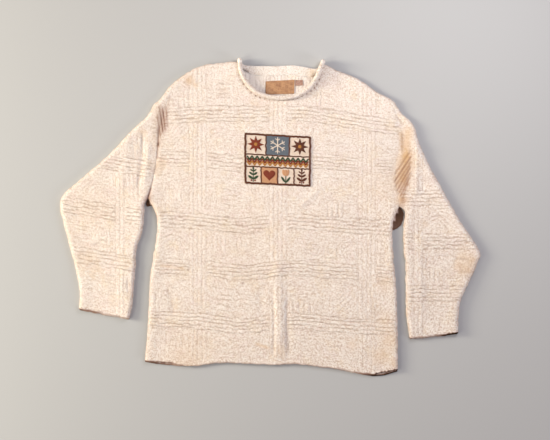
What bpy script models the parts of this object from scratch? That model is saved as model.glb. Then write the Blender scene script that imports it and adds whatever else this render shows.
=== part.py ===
"""A heavy cotton pullover with a rolled neck, laid flat on its back.

Each piece that is cut and sewn is one object: front, back, two sleeves, rolled neckband, chest patch,
neck label and size tab. X runs to the right across the laid garment, Y from hem to neck, and Z up from
the table. Sizes are in millimetres here and become metres in make_object().
"""

import math
from collections import namedtuple

import bpy
import numpy as np
from mathutils import Vector
from mathutils.geometry import delaunay_2d_cdt

# Middle of the laid garment, in the coordinates of the tables below
MIDDLE_X = -0.3
MIDDLE_Y = -3.6

# Cloth
WALL = 2.6  # thickness of the heavy slub knit
GAP = 0.3  # clearance between two sewn pieces
LIE = WALL + GAP  # height of the upper layer's inside where it lies on the lower layer
RIB_RISE = 1.3  # how far a purl ridge stands out of the wall
LOFT_MIDDLE = 1.1  # air between the layers in the middle of a piece
LOFT_EDGE = 2.6  # extra air beside a folded edge
LOFT_REACH = 26.0  # how far in from a folded edge that air reaches
EDGE_TUCK = 1.2  # how far the table side of a folded edge rolls under

# Neckband, a strip whose free edge curls outwards into a roll
ROLL_RADIUS = 5.3
BAND_WALL = 2.2
BAND_BASE = 2.2  # from the roll's middle back to the seam, in front
BAND_HEIGHT = 18.0  # from the roll's middle back to the seam, behind the neck
ROLL_END_FRONT = math.radians(205)  # where the curl ends, seen along the band
ROLL_END_BACK = math.radians(118)
TIP_RISE = 8.7  # how far the neck's two corners stand up off the table
TIP_NEAR = 18.0  # the rise is full up to here from a corner
TIP_FAR = 62.0  # and gone from here on
TIP_STAND = 0.85  # share of the rise that the shoulder's edge keeps at a corner of the neck

# Knit pattern: bands of ridges along the courses and ribs along the wales
RidgeBands = namedtuple("RidgeBands", "middles pitch ridges")
ROWS_BODY = RidgeBands(middles=(234.0, 127.0, -16.0, -123.0, -246.0), pitch=8.6, ridges=4)
RIBS_BODY = RidgeBands(middles=(-167.0, 18.0, 223.0), pitch=10.0, ridges=4)
ROWS_LEFT = RidgeBands(middles=(117.0, 4.0, -106.0), pitch=8.6, ridges=4)
RIBS_LEFT = RidgeBands(middles=(-346.0,), pitch=10.0, ridges=2)
ROWS_RIGHT = RidgeBands(middles=(40.0, -60.0, -179.0), pitch=8.6, ridges=4)
RIBS_RIGHT = RidgeBands(middles=(341.0,), pitch=10.0, ridges=2)
PLAIN_STEP_ROWS = 27.0  # widest step between two rows of points where the knit is plain
PLAIN_STEP_RIBS = 20.0
BEYOND = 60.0  # how far the knit's lines run on past an outline's box, before they are trimmed to it
LEFT_SLOPE = -0.17  # the left sleeve's courses fall towards its seam
DROOP_RIGHT = 30.0  # how far the courses sag towards the right shoulder
DROOP_LEFT = 6.0

# Edges of the cut pieces as they lie, as places (x, y) on a smooth curve
HEM_FRONT = ((-289, -335), (-240, -339), (-183, -347), (-114, -339), (-45, -342), (14, -344), (40, -341),
             (70, -343), (151, -353), (224, -366), (254, -363), (294, -355))
HEM_BACK = ((-289, -338), (-245, -344), (-183, -348), (-114, -341), (-45, -342), (14, -345), (40, -343),
            (70, -344), (151, -355), (218, -368), (256, -369), (293, -360))
SIDE_RIGHT = ((294, -355), (293, -252), (289.5, -160), (284.5, -107), (281.5, -56), (281.5, -24),
              (286, -3), (297, 21))
SIDE_LEFT = ((-282, 40), (-267, 13), (-261, -8), (-261, -38), (-269, -93), (-277, -148), (-282, -252),
             (-289, -335))
ARMHOLE_RIGHT = ((297, 21), (290, 70), (288, 116), (296, 155), (303, 192), (292, 230), (262, 276.5))
ARMHOLE_LEFT = ((-220, 309), (-240, 256), (-254, 208), (-259, 162), (-266, 105), (-275, 63), (-282, 40))
SHOULDER_RIGHT = ((262, 276.5), (245, 285), (215, 306.5), (190, 320.5), (153, 334), (127.5, 346))
SHOULDER_LEFT = ((-78, 354), (-105, 353), (-155, 346), (-187, 332), (-220, 309))
SLEEVE_LEFT_INNER = ((-325, -237), (-318, -205), (-315, -165), (-311, -120), (-308, -75), (-296, -40),
                     (-291, 3), (-290, 26), (-282, 40))
SLEEVE_LEFT_OUTER = ((-220, 309), (-238, 290), (-252, 270), (-268, 256), (-284, 229), (-314, 201),
                     (-371, 141), (-434, 86), (-477, 47), (-484, 18), (-478, -10), (-462, -72),
                     (-449, -121), (-439, -176), (-441, -215))
CUFF_LEFT = ((-441, -215), (-400, -223), (-360, -231), (-325, -237))
SLEEVE_RIGHT_OUTER = ((433, -270), (434, -230), (441, -190), (467, -135), (478, -107), (484, -88),
                      (464, -52), (428, 3), (397, 59), (367, 114), (342, 169), (330, 208), (302, 236),
                      (284, 263), (262, 276.5))
SLEEVE_RIGHT_INNER = ((297, 21), (306, 15), (311, 5), (309, -10), (307, -32), (307, -66), (309, -90),
                      (312, -114), (312, -150), (312.5, -190), (313, -225), (317, -255), (321, -282))
CUFF_RIGHT = ((321, -282), (350, -280), (395, -275), (433, -270))
CUFF_PEEK = 3.5  # how far the lower layer of a cuff shows past the upper one

# Middle line of the neck roll: down the front from the left corner to the right one, and back behind the neck
NECK_FRONT = ((-70, 351), (-68, 335), (-59, 313), (-46, 296), (-30, 283), (-10, 275), (13, 271), (36, 271),
              (59, 275), (78, 284), (93, 298), (106, 317), (114, 335), (119, 348))
NECK_BACK = ((119, 348), (114, 337), (102, 333), (82, 337), (59, 340.5), (45, 341), (15, 339.5),
             (-15, 339.5), (-50, 340.5), (-61, 342), (-68, 346), (-70, 351))

# What is sewn on, as corners (x, y)
CHEST_PATCH = ((-60, 73), (93, 66), (94, 182), (-60, 191))
NECK_LABEL = ((-11, 279), (55, 281), (56, 313), (-11, 309.5))
SIZE_TAB = ((57.5, 299), (75, 300), (74.5, 312.5), (57.5, 312))
PATCH_THICK = 1.1
LABEL_THICK = 0.5

# Creases and soft folds: from (x0, y0) to (x1, y1), half width, and rise, which is negative for a trough
Fold = namedtuple("Fold", "x0 y0 x1 y1 width rise")
FOLDS_FRONT = (
    Fold(18, -95, 20, -325, 17, 2.6),
    Fold(-14, -160, -20, -225, 8, -1.1),
    Fold(2, -190, 6, -322, 6, -1.3),
    Fold(40, -200, 44, -322, 7, -1.4),
    Fold(66, 17, 116, 63, 7, 1.4),
    Fold(-236, -168, -226, -232, 7, -1.0),
    Fold(-228, 262, -212, 180, 14, 1.8),
    Fold(278, 232, 291, 196, 8, 1.6),
    Fold(-150, -60, -205, -110, 16, 0.9),
    Fold(150, -165, 235, -215, 18, 1.0),
    Fold(-190, 70, -235, 20, 14, 1.1),
    Fold(205, 60, 255, 10, 15, 1.2),
)
FOLDS_LEFT = (
    Fold(-293, 195, -305, 60, 7, -1.6),
    Fold(-279, 178, -290, 70, 6, 1.8),
    Fold(-330, 188, -345, 60, 12, 1.2),
    Fold(-405, -68, -385, -62, 5, -1.3),
    Fold(-329, -150, -323, -188, 6, -1.4),
    Fold(-340, -60, -352, -190, 12, 1.1),
    Fold(-455, 40, -395, 20, 14, 1.0),
)
FOLDS_RIGHT = (
    Fold(338, 168, 335, 40, 9, 2.4),
    Fold(330, 150, 298, 80, 3.5, 1.2),
    Fold(334, 128, 301, 58, 3.5, 1.3),
    Fold(332, 100, 304, 42, 3.5, 1.2),
    Fold(345, -40, 352, -250, 12, 1.3),
    Fold(440, -95, 465, -100, 14, 1.0),
    Fold(405, -190, 440, -205, 8, 1.0),
)

EDGE_STEP = 12.0  # spacing of the points along an edge
NECK_STEP = 9.0  # and along the neckband
RIM_STEPS = (3.5, 10.0)  # rows of points that follow the outline, at these distances inside it
COARSE_STEP = 42.0  # spacing of the points on the plain inside of a wall
ROUGH_REACH = 9.0  # the ridges fade out over this distance from an edge
SHARP = 0.35  # sine of the turn above which an outline's point counts as a corner
TURN_PARTS = 6  # steps in which the neckband turns over at a corner of the neck

# An edge of a piece: its points, what becomes of it (fold, seam or free) and how far in its rounding reaches
Edge = namedtuple("Edge", "points kind soft")
CREAM = (0.86, 0.74, 0.62)


def smooth_step(low, high, values):
    """0 below low, 1 above high and a soft ramp between."""
    t = np.clip((values - low) / (high - low), 0.0, 1.0)
    return t * t * (3.0 - 2.0 * t)


def curve(places, step):
    """Points about a step apart on a smooth curve through the places."""
    p = np.array(places, float)
    p = np.vstack([2 * p[0] - p[1], p, 2 * p[-1] - p[-2]])
    dense = []
    for a, b, c, d in zip(p, p[1:], p[2:], p[3:]):
        for t in np.linspace(0.0, 1.0, 24, endpoint=False):
            bend = 2 * a - 5 * b + 4 * c - d
            dense.append(0.5 * (2 * b + (c - a) * t + bend * t**2 + (3 * b - a - 3 * c + d) * t**3))
    dense = np.array(dense + [p[-2]])
    along = np.concatenate([[0.0], np.cumsum(np.linalg.norm(np.diff(dense, axis=0), axis=1))])
    stops = np.linspace(0.0, along[-1], max(2, round(along[-1] / step) + 1))
    return np.column_stack([np.interp(stops, along, dense[:, k]) for k in range(p.shape[1])])


def distance(points, line):
    """Distance of each point from a line of points."""
    start, run = line[:-1], np.diff(line, axis=0)
    length = np.maximum((run**2).sum(1), 1e-9)
    to = points[:, None, :] - start[None]
    t = np.clip((to * run).sum(2) / length, 0.0, 1.0)
    return np.sqrt(((to - t[..., None] * run) ** 2).sum(2)).min(1)


def inside(points, outline):
    """True for each point inside a closed outline."""
    found = np.zeros(len(points), bool)
    for (x0, y0), (x1, y1) in zip(outline, np.roll(outline, -1, axis=0)):
        if y0 == y1:
            continue
        spans = (points[:, 1] < y0) != (points[:, 1] < y1)
        crossing = x0 + (points[:, 1] - y0) * (x1 - x0) / (y1 - y0)
        found ^= spans & (points[:, 0] < crossing)
    return found


def closed(outline):
    """The outline with its first point again at the end."""
    return np.vstack([outline, outline[:1]])


def outline_of(edges):
    """One closed outline from a piece's edges in order, and the kind of edge that leaves each point."""
    points = np.vstack([edge.points[:-1] for edge in edges])
    kinds = [edge.kind for edge in edges for _ in edge.points[:-1]]
    return points, kinds


def moved_in(outline, kinds, amounts):
    """The outline with its edges moved inwards, each kind of edge by its own amount."""
    run = np.roll(outline, -1, axis=0) - outline
    normal = np.column_stack([-run[:, 1], run[:, 0]]) / np.linalg.norm(run, axis=1)[:, None]
    result = outline.copy()
    for i, kind in enumerate(kinds):
        both = np.array([normal[i - 1], normal[i]])
        shift = np.array([amounts.get(kinds[i - 1], 0.0), amounts.get(kind, 0.0)])
        if abs(np.linalg.det(both)) > SHARP:
            result[i] += np.linalg.solve(both, shift)
        else:
            result[i] += both.T @ shift / (2.0 if kinds[i - 1] == kind else 1.0)
    return result


def rounding(points, edges):
    """1 inside a piece, falling in a quarter round to 0 at its folded and sewn edges."""
    result = np.ones(len(points))
    for edge in edges:
        if edge.soft:
            near = 1.0 - np.minimum(distance(points, edge.points) / edge.soft, 1.0)
            result *= np.sqrt(np.maximum(1.0 - near**2, 0.0))
    return result


def folds_height(points, folds):
    """Sum of the folds' rises at each point."""
    height = np.zeros(len(points))
    for fold in folds:
        line = np.array([(fold.x0, fold.y0), (fold.x1, fold.y1)], float)
        height += fold.rise * np.exp(-((distance(points, line) / fold.width) ** 2))
    return height


def loft(points, edges):
    """Air between the two layers, more beside a folded edge than in the middle or at the neck's corners."""
    folded = [distance(points, edge.points) for edge in edges if edge.kind == "fold"]
    beside = np.exp(-((np.min(folded, axis=0) / LOFT_REACH) ** 2))
    return LOFT_MIDDLE + LOFT_EDGE * beside * (1.0 - tip_share(points))


def tip_share(points):
    """1 near the two corners of the neck, where the front stands up, and 0 away from them."""
    tips = np.array([NECK_FRONT[0], NECK_FRONT[-1]], float)
    near = np.linalg.norm(points[:, None, :] - tips, axis=2).min(1)
    return 1.0 - smooth_step(TIP_NEAR, TIP_FAR, near)


def band_lines(bands, low, high, plain_step):
    """Where the lines of points run: on each crest and valley of a band, and wider apart between bands."""
    lines = []
    for middle in bands.middles:
        lines.extend(middle + bands.pitch / 2 * k for k in range(-bands.ridges, bands.ridges + 1))
    lines = [low] + sorted(lines) + [high]
    filled = []
    for a, b in zip(lines, lines[1:]):
        parts = max(1, math.ceil((b - a) / plain_step))
        filled.extend(a + (b - a) * k / parts for k in range(parts))
    return np.array(filled + [high])


def band_height(values, bands):
    """Height of the bands' ridges from 0 to 1, and the number of the band at each value, or -1."""
    height, number = np.zeros(len(values)), np.full(len(values), -1)
    for k, middle in enumerate(bands.middles):
        t = (values - middle) / bands.pitch
        within = np.abs(t) <= bands.ridges / 2 + 1e-6
        shift = 0.5 * (bands.ridges % 2)
        height[within] = (0.5 - 0.5 * np.cos(2 * math.pi * (t + shift)))[within]
        number[within] = k
    return height, number


def relief(across, up, rows, ribs):
    """Height of the knit's ridges, 0 to 1. Where two bands cross, they pass over each other by turns."""
    row_height, row = band_height(up, rows)
    rib_height, rib = band_height(across, ribs)
    rib_on_top = (rib >= 0) & ((row < 0) | ((row + rib) % 2 == 1))
    return np.where(rib_on_top, rib_height, row_height)


def body_place(across, up):
    """Where a point of the body's knit lies: its courses sag towards the shoulders."""
    high = smooth_step(90.0, 230.0, up)
    right = DROOP_RIGHT * smooth_step(60.0, 300.0, across)
    left = DROOP_LEFT * smooth_step(150.0, 260.0, -across)
    return np.column_stack([across, up - (right + left) * high])


def left_place(across, up):
    """Where a point of the left sleeve's knit lies: its courses fall towards the seam."""
    return np.column_stack([across, up + LEFT_SLOPE * (across - RIBS_LEFT.middles[0])])


def right_place(across, up):
    """Where a point of the right sleeve's knit lies: its courses stay level."""
    return np.column_stack([across, up])


def knit_points(outline, rows, ribs, place):
    """Points on the crests and valleys of the ridges inside an outline, and the ridge height at each."""
    (x0, y0), (x1, y1) = outline.min(0), outline.max(0)
    lines_x = band_lines(ribs, x0 - BEYOND, x1 + BEYOND, PLAIN_STEP_RIBS)
    lines_y = band_lines(rows, y0 - BEYOND, y1 + BEYOND, PLAIN_STEP_ROWS)
    across, up = (grid.ravel() for grid in np.meshgrid(lines_x, lines_y))
    points = place(across, up)
    kept = inside(points, outline)
    kept[kept] = distance(points[kept], closed(outline)) > RIM_STEPS[-1] + 1.5
    return points[kept], relief(across, up, rows, ribs)[kept]


def rim_points(outline, kinds):
    """Rows of points that follow the outline inside it."""
    found = []
    for step in RIM_STEPS:
        row = moved_in(outline, kinds, {"fold": step, "seam": step, "free": step})
        row = row[inside(row, outline)]
        found.append(row[distance(row, closed(outline)) > 0.85 * step])
    return np.vstack(found)


def fold_points(outline, folds):
    """Points along each fold's crest and its two feet."""
    found = []
    for fold in folds:
        ends = np.array([(fold.x0, fold.y0), (fold.x1, fold.y1)], float)
        run = ends[1] - ends[0]
        side = np.array([-run[1], run[0]]) / np.linalg.norm(run) * fold.width * 1.3
        for shift in (-side, 0 * side, side):
            found.append(curve(ends + shift, 2.2 * fold.width))
    found = np.vstack(found)
    found = found[inside(found, outline)]
    return found[distance(found, closed(outline)) > RIM_STEPS[-1] + 1.5]


def spread_points(outline, step):
    """Points on a plain square grid inside an outline."""
    (x0, y0), (x1, y1) = outline.min(0), outline.max(0)
    grid = np.meshgrid(np.arange(x0 + step / 2, x1, step), np.arange(y0 + step / 2, y1, step))
    points = np.column_stack([axis.ravel() for axis in grid])
    points = points[inside(points, outline)]
    return points[distance(points, closed(outline)) > RIM_STEPS[-1] + 4.0]


def thinned(points, keep_from, least):
    """The points without those that lie nearer than least to one of keep_from."""
    if not len(keep_from) or not len(points):
        return points
    near = np.linalg.norm(points[:, None, :] - keep_from[None], axis=2).min(1)
    return points[near > least]


def triangulated(outline, inner, sewn_on=()):
    """Triangles over an outline with its inner points and the edges of what is sewn on it, as indices."""
    points = np.vstack([outline, inner, *sewn_on])
    loops = [np.arange(len(outline))]
    start = len(outline) + len(inner)
    for piece in sewn_on:
        loops.append(np.arange(start, start + len(piece)))
        start += len(piece)
    edges = [(int(a), int(b)) for loop in loops for a, b in zip(loop, np.roll(loop, -1))]
    found = delaunay_2d_cdt([Vector(p) for p in points], edges, [], 1, 1e-4)
    origin = [ids[0] for ids in found[3]]
    return points, np.array([[origin[i] for i in face] for face in found[2]]), loops


class Shell:
    """Collects the sheets and rims of one closed wall."""

    def __init__(self):
        self.points = []
        self.faces = []

    def sheet(self, points, heights, triangles, up):
        """Adds a sheet that faces up or down. Returns the number of its first point."""
        start = len(self.points)
        self.points.extend(np.column_stack([points, heights]).tolist())
        order = (0, 1, 2) if up else (2, 1, 0)
        self.faces.extend([start + int(tri[k]) for k in order] for tri in triangles)
        return start

    def rim(self, upper, lower, ring, ends):
        """Adds the strip between two sheets along the outline's segments that ends names."""
        for i in ends:
            j = (i + 1) % ring
            self.faces.append([lower + i, lower + j, upper + j])
            self.faces.append([lower + i, upper + j, upper + i])

    def cap(self, corners):
        """Adds a four-cornered face."""
        a, b, c, d = corners
        self.faces.append([a, b, c])
        self.faces.append([a, c, d])


def make_object(name, points, faces, colour, crease=22.0):
    """Makes one object in metres, its edges sharp where they turn by more than crease degrees."""
    mesh = bpy.data.meshes.new(name)
    places = [(0.001 * (x - MIDDLE_X), 0.001 * (y - MIDDLE_Y), 0.001 * z) for x, y, z in points]
    mesh.from_pydata(places, [], faces)
    mesh.validate()
    material = bpy.data.materials.new(name)
    material.use_nodes = True
    shader = material.node_tree.nodes["Principled BSDF"]
    shader.inputs["Base Color"].default_value = (*colour, 1.0)
    shader.inputs["Roughness"].default_value = 0.9
    mesh.materials.append(material)
    mesh.shade_smooth()
    mesh.set_sharp_from_angle(angle=math.radians(crease))
    piece = bpy.data.objects.new(name, mesh)
    bpy.context.scene.collection.objects.link(piece)
    return piece


def neck_line():
    """The roll's middle line as a closed loop of (point, outward direction, part of the loop)."""
    front = curve(NECK_FRONT, NECK_STEP)
    back = curve(NECK_BACK, NECK_STEP)
    high = LIE + LOFT_MIDDLE + TIP_RISE * tip_share(front) + ROLL_RADIUS
    low = np.full(len(back), ROLL_RADIUS)
    up = np.array((0.0, 0.0, 1.0))
    stations = []
    for start, heights, side, part in ((front, high, 1, "front"), (back, low, -1, "back")):
        line = np.column_stack([start, heights])
        stations.extend((p, side * up, part) for p in line)
        arm = np.append(front[-1] - front[-2] if part == "front" else front[0] - front[1], 0.0)
        arm /= np.linalg.norm(arm)
        radius = 0.5 * (high[-1] - low[0])
        middle = line[-1] - side * radius * up
        for k in range(1, TURN_PARTS):
            turn = math.pi * k / TURN_PARTS
            outward = math.cos(turn) * side * up + math.sin(turn) * arm
            stations.append((middle + radius * outward, outward, "turn"))
    return stations


def neck_frames():
    """For each station: middle of the roll, direction to the free edge, outward, band's share, and part."""
    stations = neck_line()
    middles = np.array([s[0] for s in stations])
    tangents = np.roll(middles, -1, axis=0) - np.roll(middles, 1, axis=0)
    along_back = band_lengths(stations)
    frames = []
    for (middle, outward, part), tangent, share in zip(stations, tangents, along_back):
        tangent = tangent / np.linalg.norm(tangent)
        outward = outward - (outward @ tangent) * tangent
        outward /= np.linalg.norm(outward)
        frames.append((middle, np.cross(outward, tangent), outward, share, part))
    return frames


def band_lengths(stations):
    """0 where the band is a mere roll, in front, and 1 where it has its full height, behind the neck."""
    middles = np.array([s[0] for s in stations])
    is_back = np.array([s[2] == "back" for s in stations])
    ends = middles[is_back][[0, -1]]
    near = np.linalg.norm(middles[:, None, :] - ends, axis=2).min(1)
    return np.where(is_back, smooth_step(4.0, 34.0, near), 0.0)


def neckband_section(share):
    """Outline of the band's wall across its length: towards the free edge, and outwards, from the middle."""
    base = BAND_BASE + (BAND_HEIGHT - BAND_BASE) * share
    level = -ROLL_RADIUS + (2 * ROLL_RADIUS - WALL) * share
    end = ROLL_END_FRONT + (ROLL_END_BACK - ROLL_END_FRONT) * share
    reach = math.hypot(base, level)
    start = math.atan2(level, -base) + math.acos(min(1.0, ROLL_RADIUS / reach))
    if start > 0:
        start -= 2 * math.pi
    outer = [(ROLL_RADIUS * math.cos(a), ROLL_RADIUS * math.sin(a)) for a in np.linspace(start, end, 9)]
    within = ROLL_RADIUS - BAND_WALL
    inner = [(within * math.cos(a), within * math.sin(a)) for a in np.linspace(end, start, 5)]
    return [(-base, level)] + outer + inner + [(-base, level + BAND_WALL)]


def neckband():
    """The rolled neckband, one wall swept once round the neck."""
    points = []
    frames = neck_frames()
    for middle, free, outward, share, _ in frames:
        points.extend((middle + a * free + b * outward).tolist() for a, b in neckband_section(share))
    size = len(neckband_section(0.0))
    faces = []
    for k in range(len(frames)):
        here, there = k * size, (k + 1) % len(frames) * size
        for i in range(size):
            j = (i + 1) % size
            faces.append([here + i, there + j, there + i])
            faces.append([here + i, here + j, there + j])
    return make_object("neckband", points, faces, CREAM, crease=60.0)


def neck_edge(part):
    """The cut edge of the front or the back where the neckband is sewn on."""
    places = []
    for middle, free, _, share, where in neck_frames():
        if where != part:
            continue
        side = free[:2] / np.linalg.norm(free[:2])
        base = BAND_BASE + (BAND_HEIGHT - BAND_BASE) * share
        corner = np.array((NECK_FRONT[0], NECK_FRONT[-1]), float)
        near = np.linalg.norm(corner - middle[:2], axis=1).min()
        clear = ROLL_RADIUS * (1.0 - smooth_step(5.0, 14.0, near)) if part == "front" else ROLL_RADIUS
        places.append(middle[:2] - side * (max(base, clear) + GAP))
    return np.array(places[::-1] if part == "front" else places)


def body_edges(hem, neck):
    """The edges of the front or back, counterclockwise from the left end of the hem."""
    side_right = np.array(SIDE_RIGHT, float)
    side_left = np.array(SIDE_LEFT, float)
    side_right[0], side_left[-1] = hem[-1], hem[0]
    top = [curve(SHOULDER_RIGHT, EDGE_STEP), neck, curve(SHOULDER_LEFT, EDGE_STEP)]
    neck_with_ends = np.vstack([top[0][-1:], top[1], top[2][:1]])
    return (
        Edge(curve(hem, EDGE_STEP), "free", 0.0),
        Edge(curve(side_right, EDGE_STEP), "fold", 10.0),
        Edge(curve(ARMHOLE_RIGHT, EDGE_STEP), "seam", 9.0),
        Edge(top[0], "fold", 10.0),
        Edge(neck_with_ends, "free", 0.0),
        Edge(top[2], "fold", 10.0),
        Edge(curve(ARMHOLE_LEFT, EDGE_STEP), "seam", 16.0),
        Edge(curve(side_left, EDGE_STEP), "fold", 10.0),
    )


def patch_loop(corners, step):
    """Points along a sewn-on piece's edge, and points inside it."""
    ring = closed(np.array(corners, float))
    sides = [curve((a, b), step)[:-1] for a, b in zip(ring, ring[1:])]
    inner = spread_patch(np.array(corners, float), step)
    return np.vstack(sides), inner


def spread_patch(corners, step):
    """Even points inside a four-cornered piece."""
    a, b, c, d = corners
    across = max(2, round(np.linalg.norm(b - a) / step))
    up = max(2, round(np.linalg.norm(d - a) / step))
    found = []
    for i in range(1, across):
        for j in range(1, up):
            s, t = i / across, j / up
            found.append((1 - s) * (1 - t) * a + s * (1 - t) * b + s * t * c + (1 - s) * t * d)
    return np.array(found)


def sewn_piece(name, loop, points, heights, triangles, thick, colour):
    """A flat piece over a panel, from the panel's own points inside the loop, moved out."""
    outline = points[loop]
    middle = points[triangles].mean(1)
    own = triangles[inside(middle, outline)]
    used = np.unique(own)
    rest = np.setdiff1d(used, loop)
    order = np.concatenate([loop, rest])
    number = {int(old): new for new, old in enumerate(order)}
    faces = np.array([[number[int(i)] for i in tri] for tri in own])
    shell = Shell()
    upper = shell.sheet(points[order], heights[order] + GAP + thick, faces, True)
    lower = shell.sheet(points[order], heights[order] + GAP, faces, False)
    shell.rim(upper, lower, len(loop), range(len(loop)))
    return make_object(name, shell.points, shell.faces, colour)


def front_and_patch():
    """The front, with its ridges and folds, and the patch on its chest."""
    edges = body_edges(HEM_FRONT, neck_edge("front"))
    outline, kinds = outline_of(edges)
    outline = moved_in(outline, kinds, {"seam": GAP / 2})

    def underside(points):
        air = loft(points, edges) + TIP_RISE * tip_share(points)
        air = air + folds_height(points, FOLDS_FRONT)
        dip = (1.0 - rounding(points, edges)) * (1.0 - TIP_STAND * tip_share(points))
        return LIE + np.maximum(air, 0.0) * (1.0 - dip)

    patch, patch_inner = patch_loop(CHEST_PATCH, 22.0)
    ridged, ridge = knit_points(outline, ROWS_BODY, RIBS_BODY, body_place)
    clear = ~inside(ridged, patch) & (distance(ridged, closed(patch)) > 3.0)
    ridged, ridge = ridged[clear], ridge[clear]
    fade = smooth_step(3.0, ROUGH_REACH + 3.0, distance(ridged, closed(patch)))
    fade = fade * smooth_step(RIM_STEPS[-1], RIM_STEPS[-1] + ROUGH_REACH, distance(ridged, closed(outline)))
    rim = rim_points(outline, kinds)
    inner = np.vstack([ridged, rim, patch_inner])
    points, triangles, loops = triangulated(outline, inner, [patch])
    height = underside(points) + WALL
    first = len(outline)
    height[first:first + len(ridged)] += RIB_RISE * ridge * fade

    shell = Shell()
    upper = shell.sheet(points, height, triangles, True)
    along = fold_points(outline, FOLDS_FRONT)
    plain = thinned(spread_points(outline, COARSE_STEP), along, 14.0)
    low_points, low_triangles, _ = triangulated(outline, np.vstack([rim[::2], along, plain]))
    low_height = underside(low_points)
    joined = [i for i in range(len(outline)) if {kinds[i - 1], kinds[i]} & {"fold", "seam"}]
    low_height[joined] = LIE
    lower = shell.sheet(low_points, low_height, low_triangles, False)
    shell.rim(upper, lower, len(outline), range(len(outline)))
    make_object("front_panel", shell.points, shell.faces, CREAM)
    sewn_piece("chest_patch", loops[1], points, height, triangles, PATCH_THICK, (0.62, 0.5, 0.38))


def back_and_labels():
    """The back, flat on the table, and the two labels inside its neck."""
    edges = body_edges(HEM_BACK, neck_edge("back"))
    outline, kinds = outline_of(edges)
    outline = moved_in(outline, kinds, {"seam": GAP / 2})
    tucked = moved_in(outline, kinds, {"fold": EDGE_TUCK})
    label, label_inner = patch_loop(NECK_LABEL, 16.0)
    tab, tab_inner = patch_loop(SIZE_TAB, 8.0)
    plain = spread_points(outline, 60.0)
    plain = thinned(plain, np.vstack([label, label_inner, tab]), 12.0)
    inner = np.vstack([plain, label_inner, tab_inner])
    points, triangles, loops = triangulated(outline, inner, [label, tab])
    height = np.full(len(points), WALL)
    shell = Shell()
    upper = shell.sheet(points, height, triangles, True)
    low_points, low_triangles, _ = triangulated(tucked, plain)
    lower = shell.sheet(low_points, np.zeros(len(low_points)), low_triangles, False)
    shell.rim(upper, lower, len(outline), range(len(outline)))
    make_object("back_panel", shell.points, shell.faces, CREAM)
    sewn_piece("neck_label", loops[1], points, height, triangles, LABEL_THICK, (0.53, 0.3, 0.16))
    sewn_piece("size_tab", loops[2], points, height, triangles, LABEL_THICK, (0.4, 0.27, 0.24))


def sleeve(name, edges, folds, rows, ribs, place):
    """A sleeve as a flattened tube, open at the armhole and the cuff."""
    outline, kinds = outline_of(edges)
    outline = moved_in(outline, kinds, {"seam": GAP / 2})
    ring = len(outline)

    def underside(points):
        air = loft(points, edges) + 1.2 + folds_height(points, folds)
        return LIE + np.maximum(air, 0.0) * rounding(points, edges)

    ridged, ridge = knit_points(outline, rows, ribs, place)
    fade = smooth_step(RIM_STEPS[-1], RIM_STEPS[-1] + ROUGH_REACH, distance(ridged, closed(outline)))
    rim = rim_points(outline, kinds)
    along = fold_points(outline, folds)
    inner = np.vstack([ridged, rim])
    points, triangles, _ = triangulated(outline, inner)
    height = underside(points) + WALL
    height[ring:ring + len(ridged)] += RIB_RISE * ridge * fade

    lining = moved_in(outline, kinds, {"fold": WALL})
    tucked = moved_in(outline, kinds, {"fold": EDGE_TUCK})
    cuff = [i for i in range(ring) if kinds[i] == "free"]
    cuff.append((cuff[-1] + 1) % ring)
    tucked[cuff, 1] -= CUFF_PEEK
    lining_low = lining.copy()
    lining_low[cuff, 1] -= CUFF_PEEK
    plain = thinned(spread_points(lining, COARSE_STEP), along, 14.0)
    high_points, high_triangles, _ = triangulated(lining, np.vstack([rim[len(rim) // 2::2], along, plain]))
    low_points, low_triangles, _ = triangulated(lining_low, spread_points(lining_low, 2 * COARSE_STEP))
    base_points, base_triangles, _ = triangulated(tucked, spread_points(tucked, 2 * COARSE_STEP))
    high_height = np.maximum(underside(high_points), LIE)

    shell = Shell()
    outer_high = shell.sheet(points, height, triangles, True)
    outer_low = shell.sheet(base_points, np.zeros(len(base_points)), base_triangles, False)
    inner_high = shell.sheet(high_points, high_height, high_triangles, False)
    inner_low = shell.sheet(low_points, np.full(len(low_points), WALL), low_triangles, True)
    folded = [i for i in range(ring) if kinds[i] == "fold"]
    opened = [i for i in range(ring) if kinds[i] != "fold"]
    shell.rim(outer_high, outer_low, ring, folded)
    shell.rim(inner_low, inner_high, ring, folded)
    shell.rim(outer_high, inner_high, ring, opened)
    shell.rim(inner_low, outer_low, ring, opened)
    for i in range(ring):
        sheets = [outer_high + i, inner_high + i, inner_low + i, outer_low + i]
        if kinds[i] == "fold" and kinds[i - 1] != "fold":
            shell.cap(sheets)
        if kinds[i] != "fold" and kinds[i - 1] == "fold":
            shell.cap(sheets[::-1])
    return make_object(name, shell.points, shell.faces, CREAM)


def left_sleeve():
    """The sleeve on the left of the laid garment."""
    edges = (
        Edge(curve(SLEEVE_LEFT_INNER, EDGE_STEP), "fold", 10.0),
        Edge(curve(ARMHOLE_LEFT, EDGE_STEP)[::-1], "seam", 11.0),
        Edge(curve(SLEEVE_LEFT_OUTER, EDGE_STEP), "fold", 10.0),
        Edge(curve(CUFF_LEFT, EDGE_STEP), "free", 0.0),
    )
    return sleeve("left_sleeve", edges, FOLDS_LEFT, ROWS_LEFT, RIBS_LEFT, left_place)


def right_sleeve():
    """The sleeve on the right of the laid garment."""
    edges = (
        Edge(curve(SLEEVE_RIGHT_OUTER, EDGE_STEP), "fold", 10.0),
        Edge(curve(ARMHOLE_RIGHT, EDGE_STEP)[::-1], "seam", 32.0),
        Edge(curve(SLEEVE_RIGHT_INNER, EDGE_STEP), "fold", 10.0),
        Edge(curve(CUFF_RIGHT, EDGE_STEP), "free", 0.0),
    )
    return sleeve("right_sleeve", edges, FOLDS_RIGHT, ROWS_RIGHT, RIBS_RIGHT, right_place)


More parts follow.
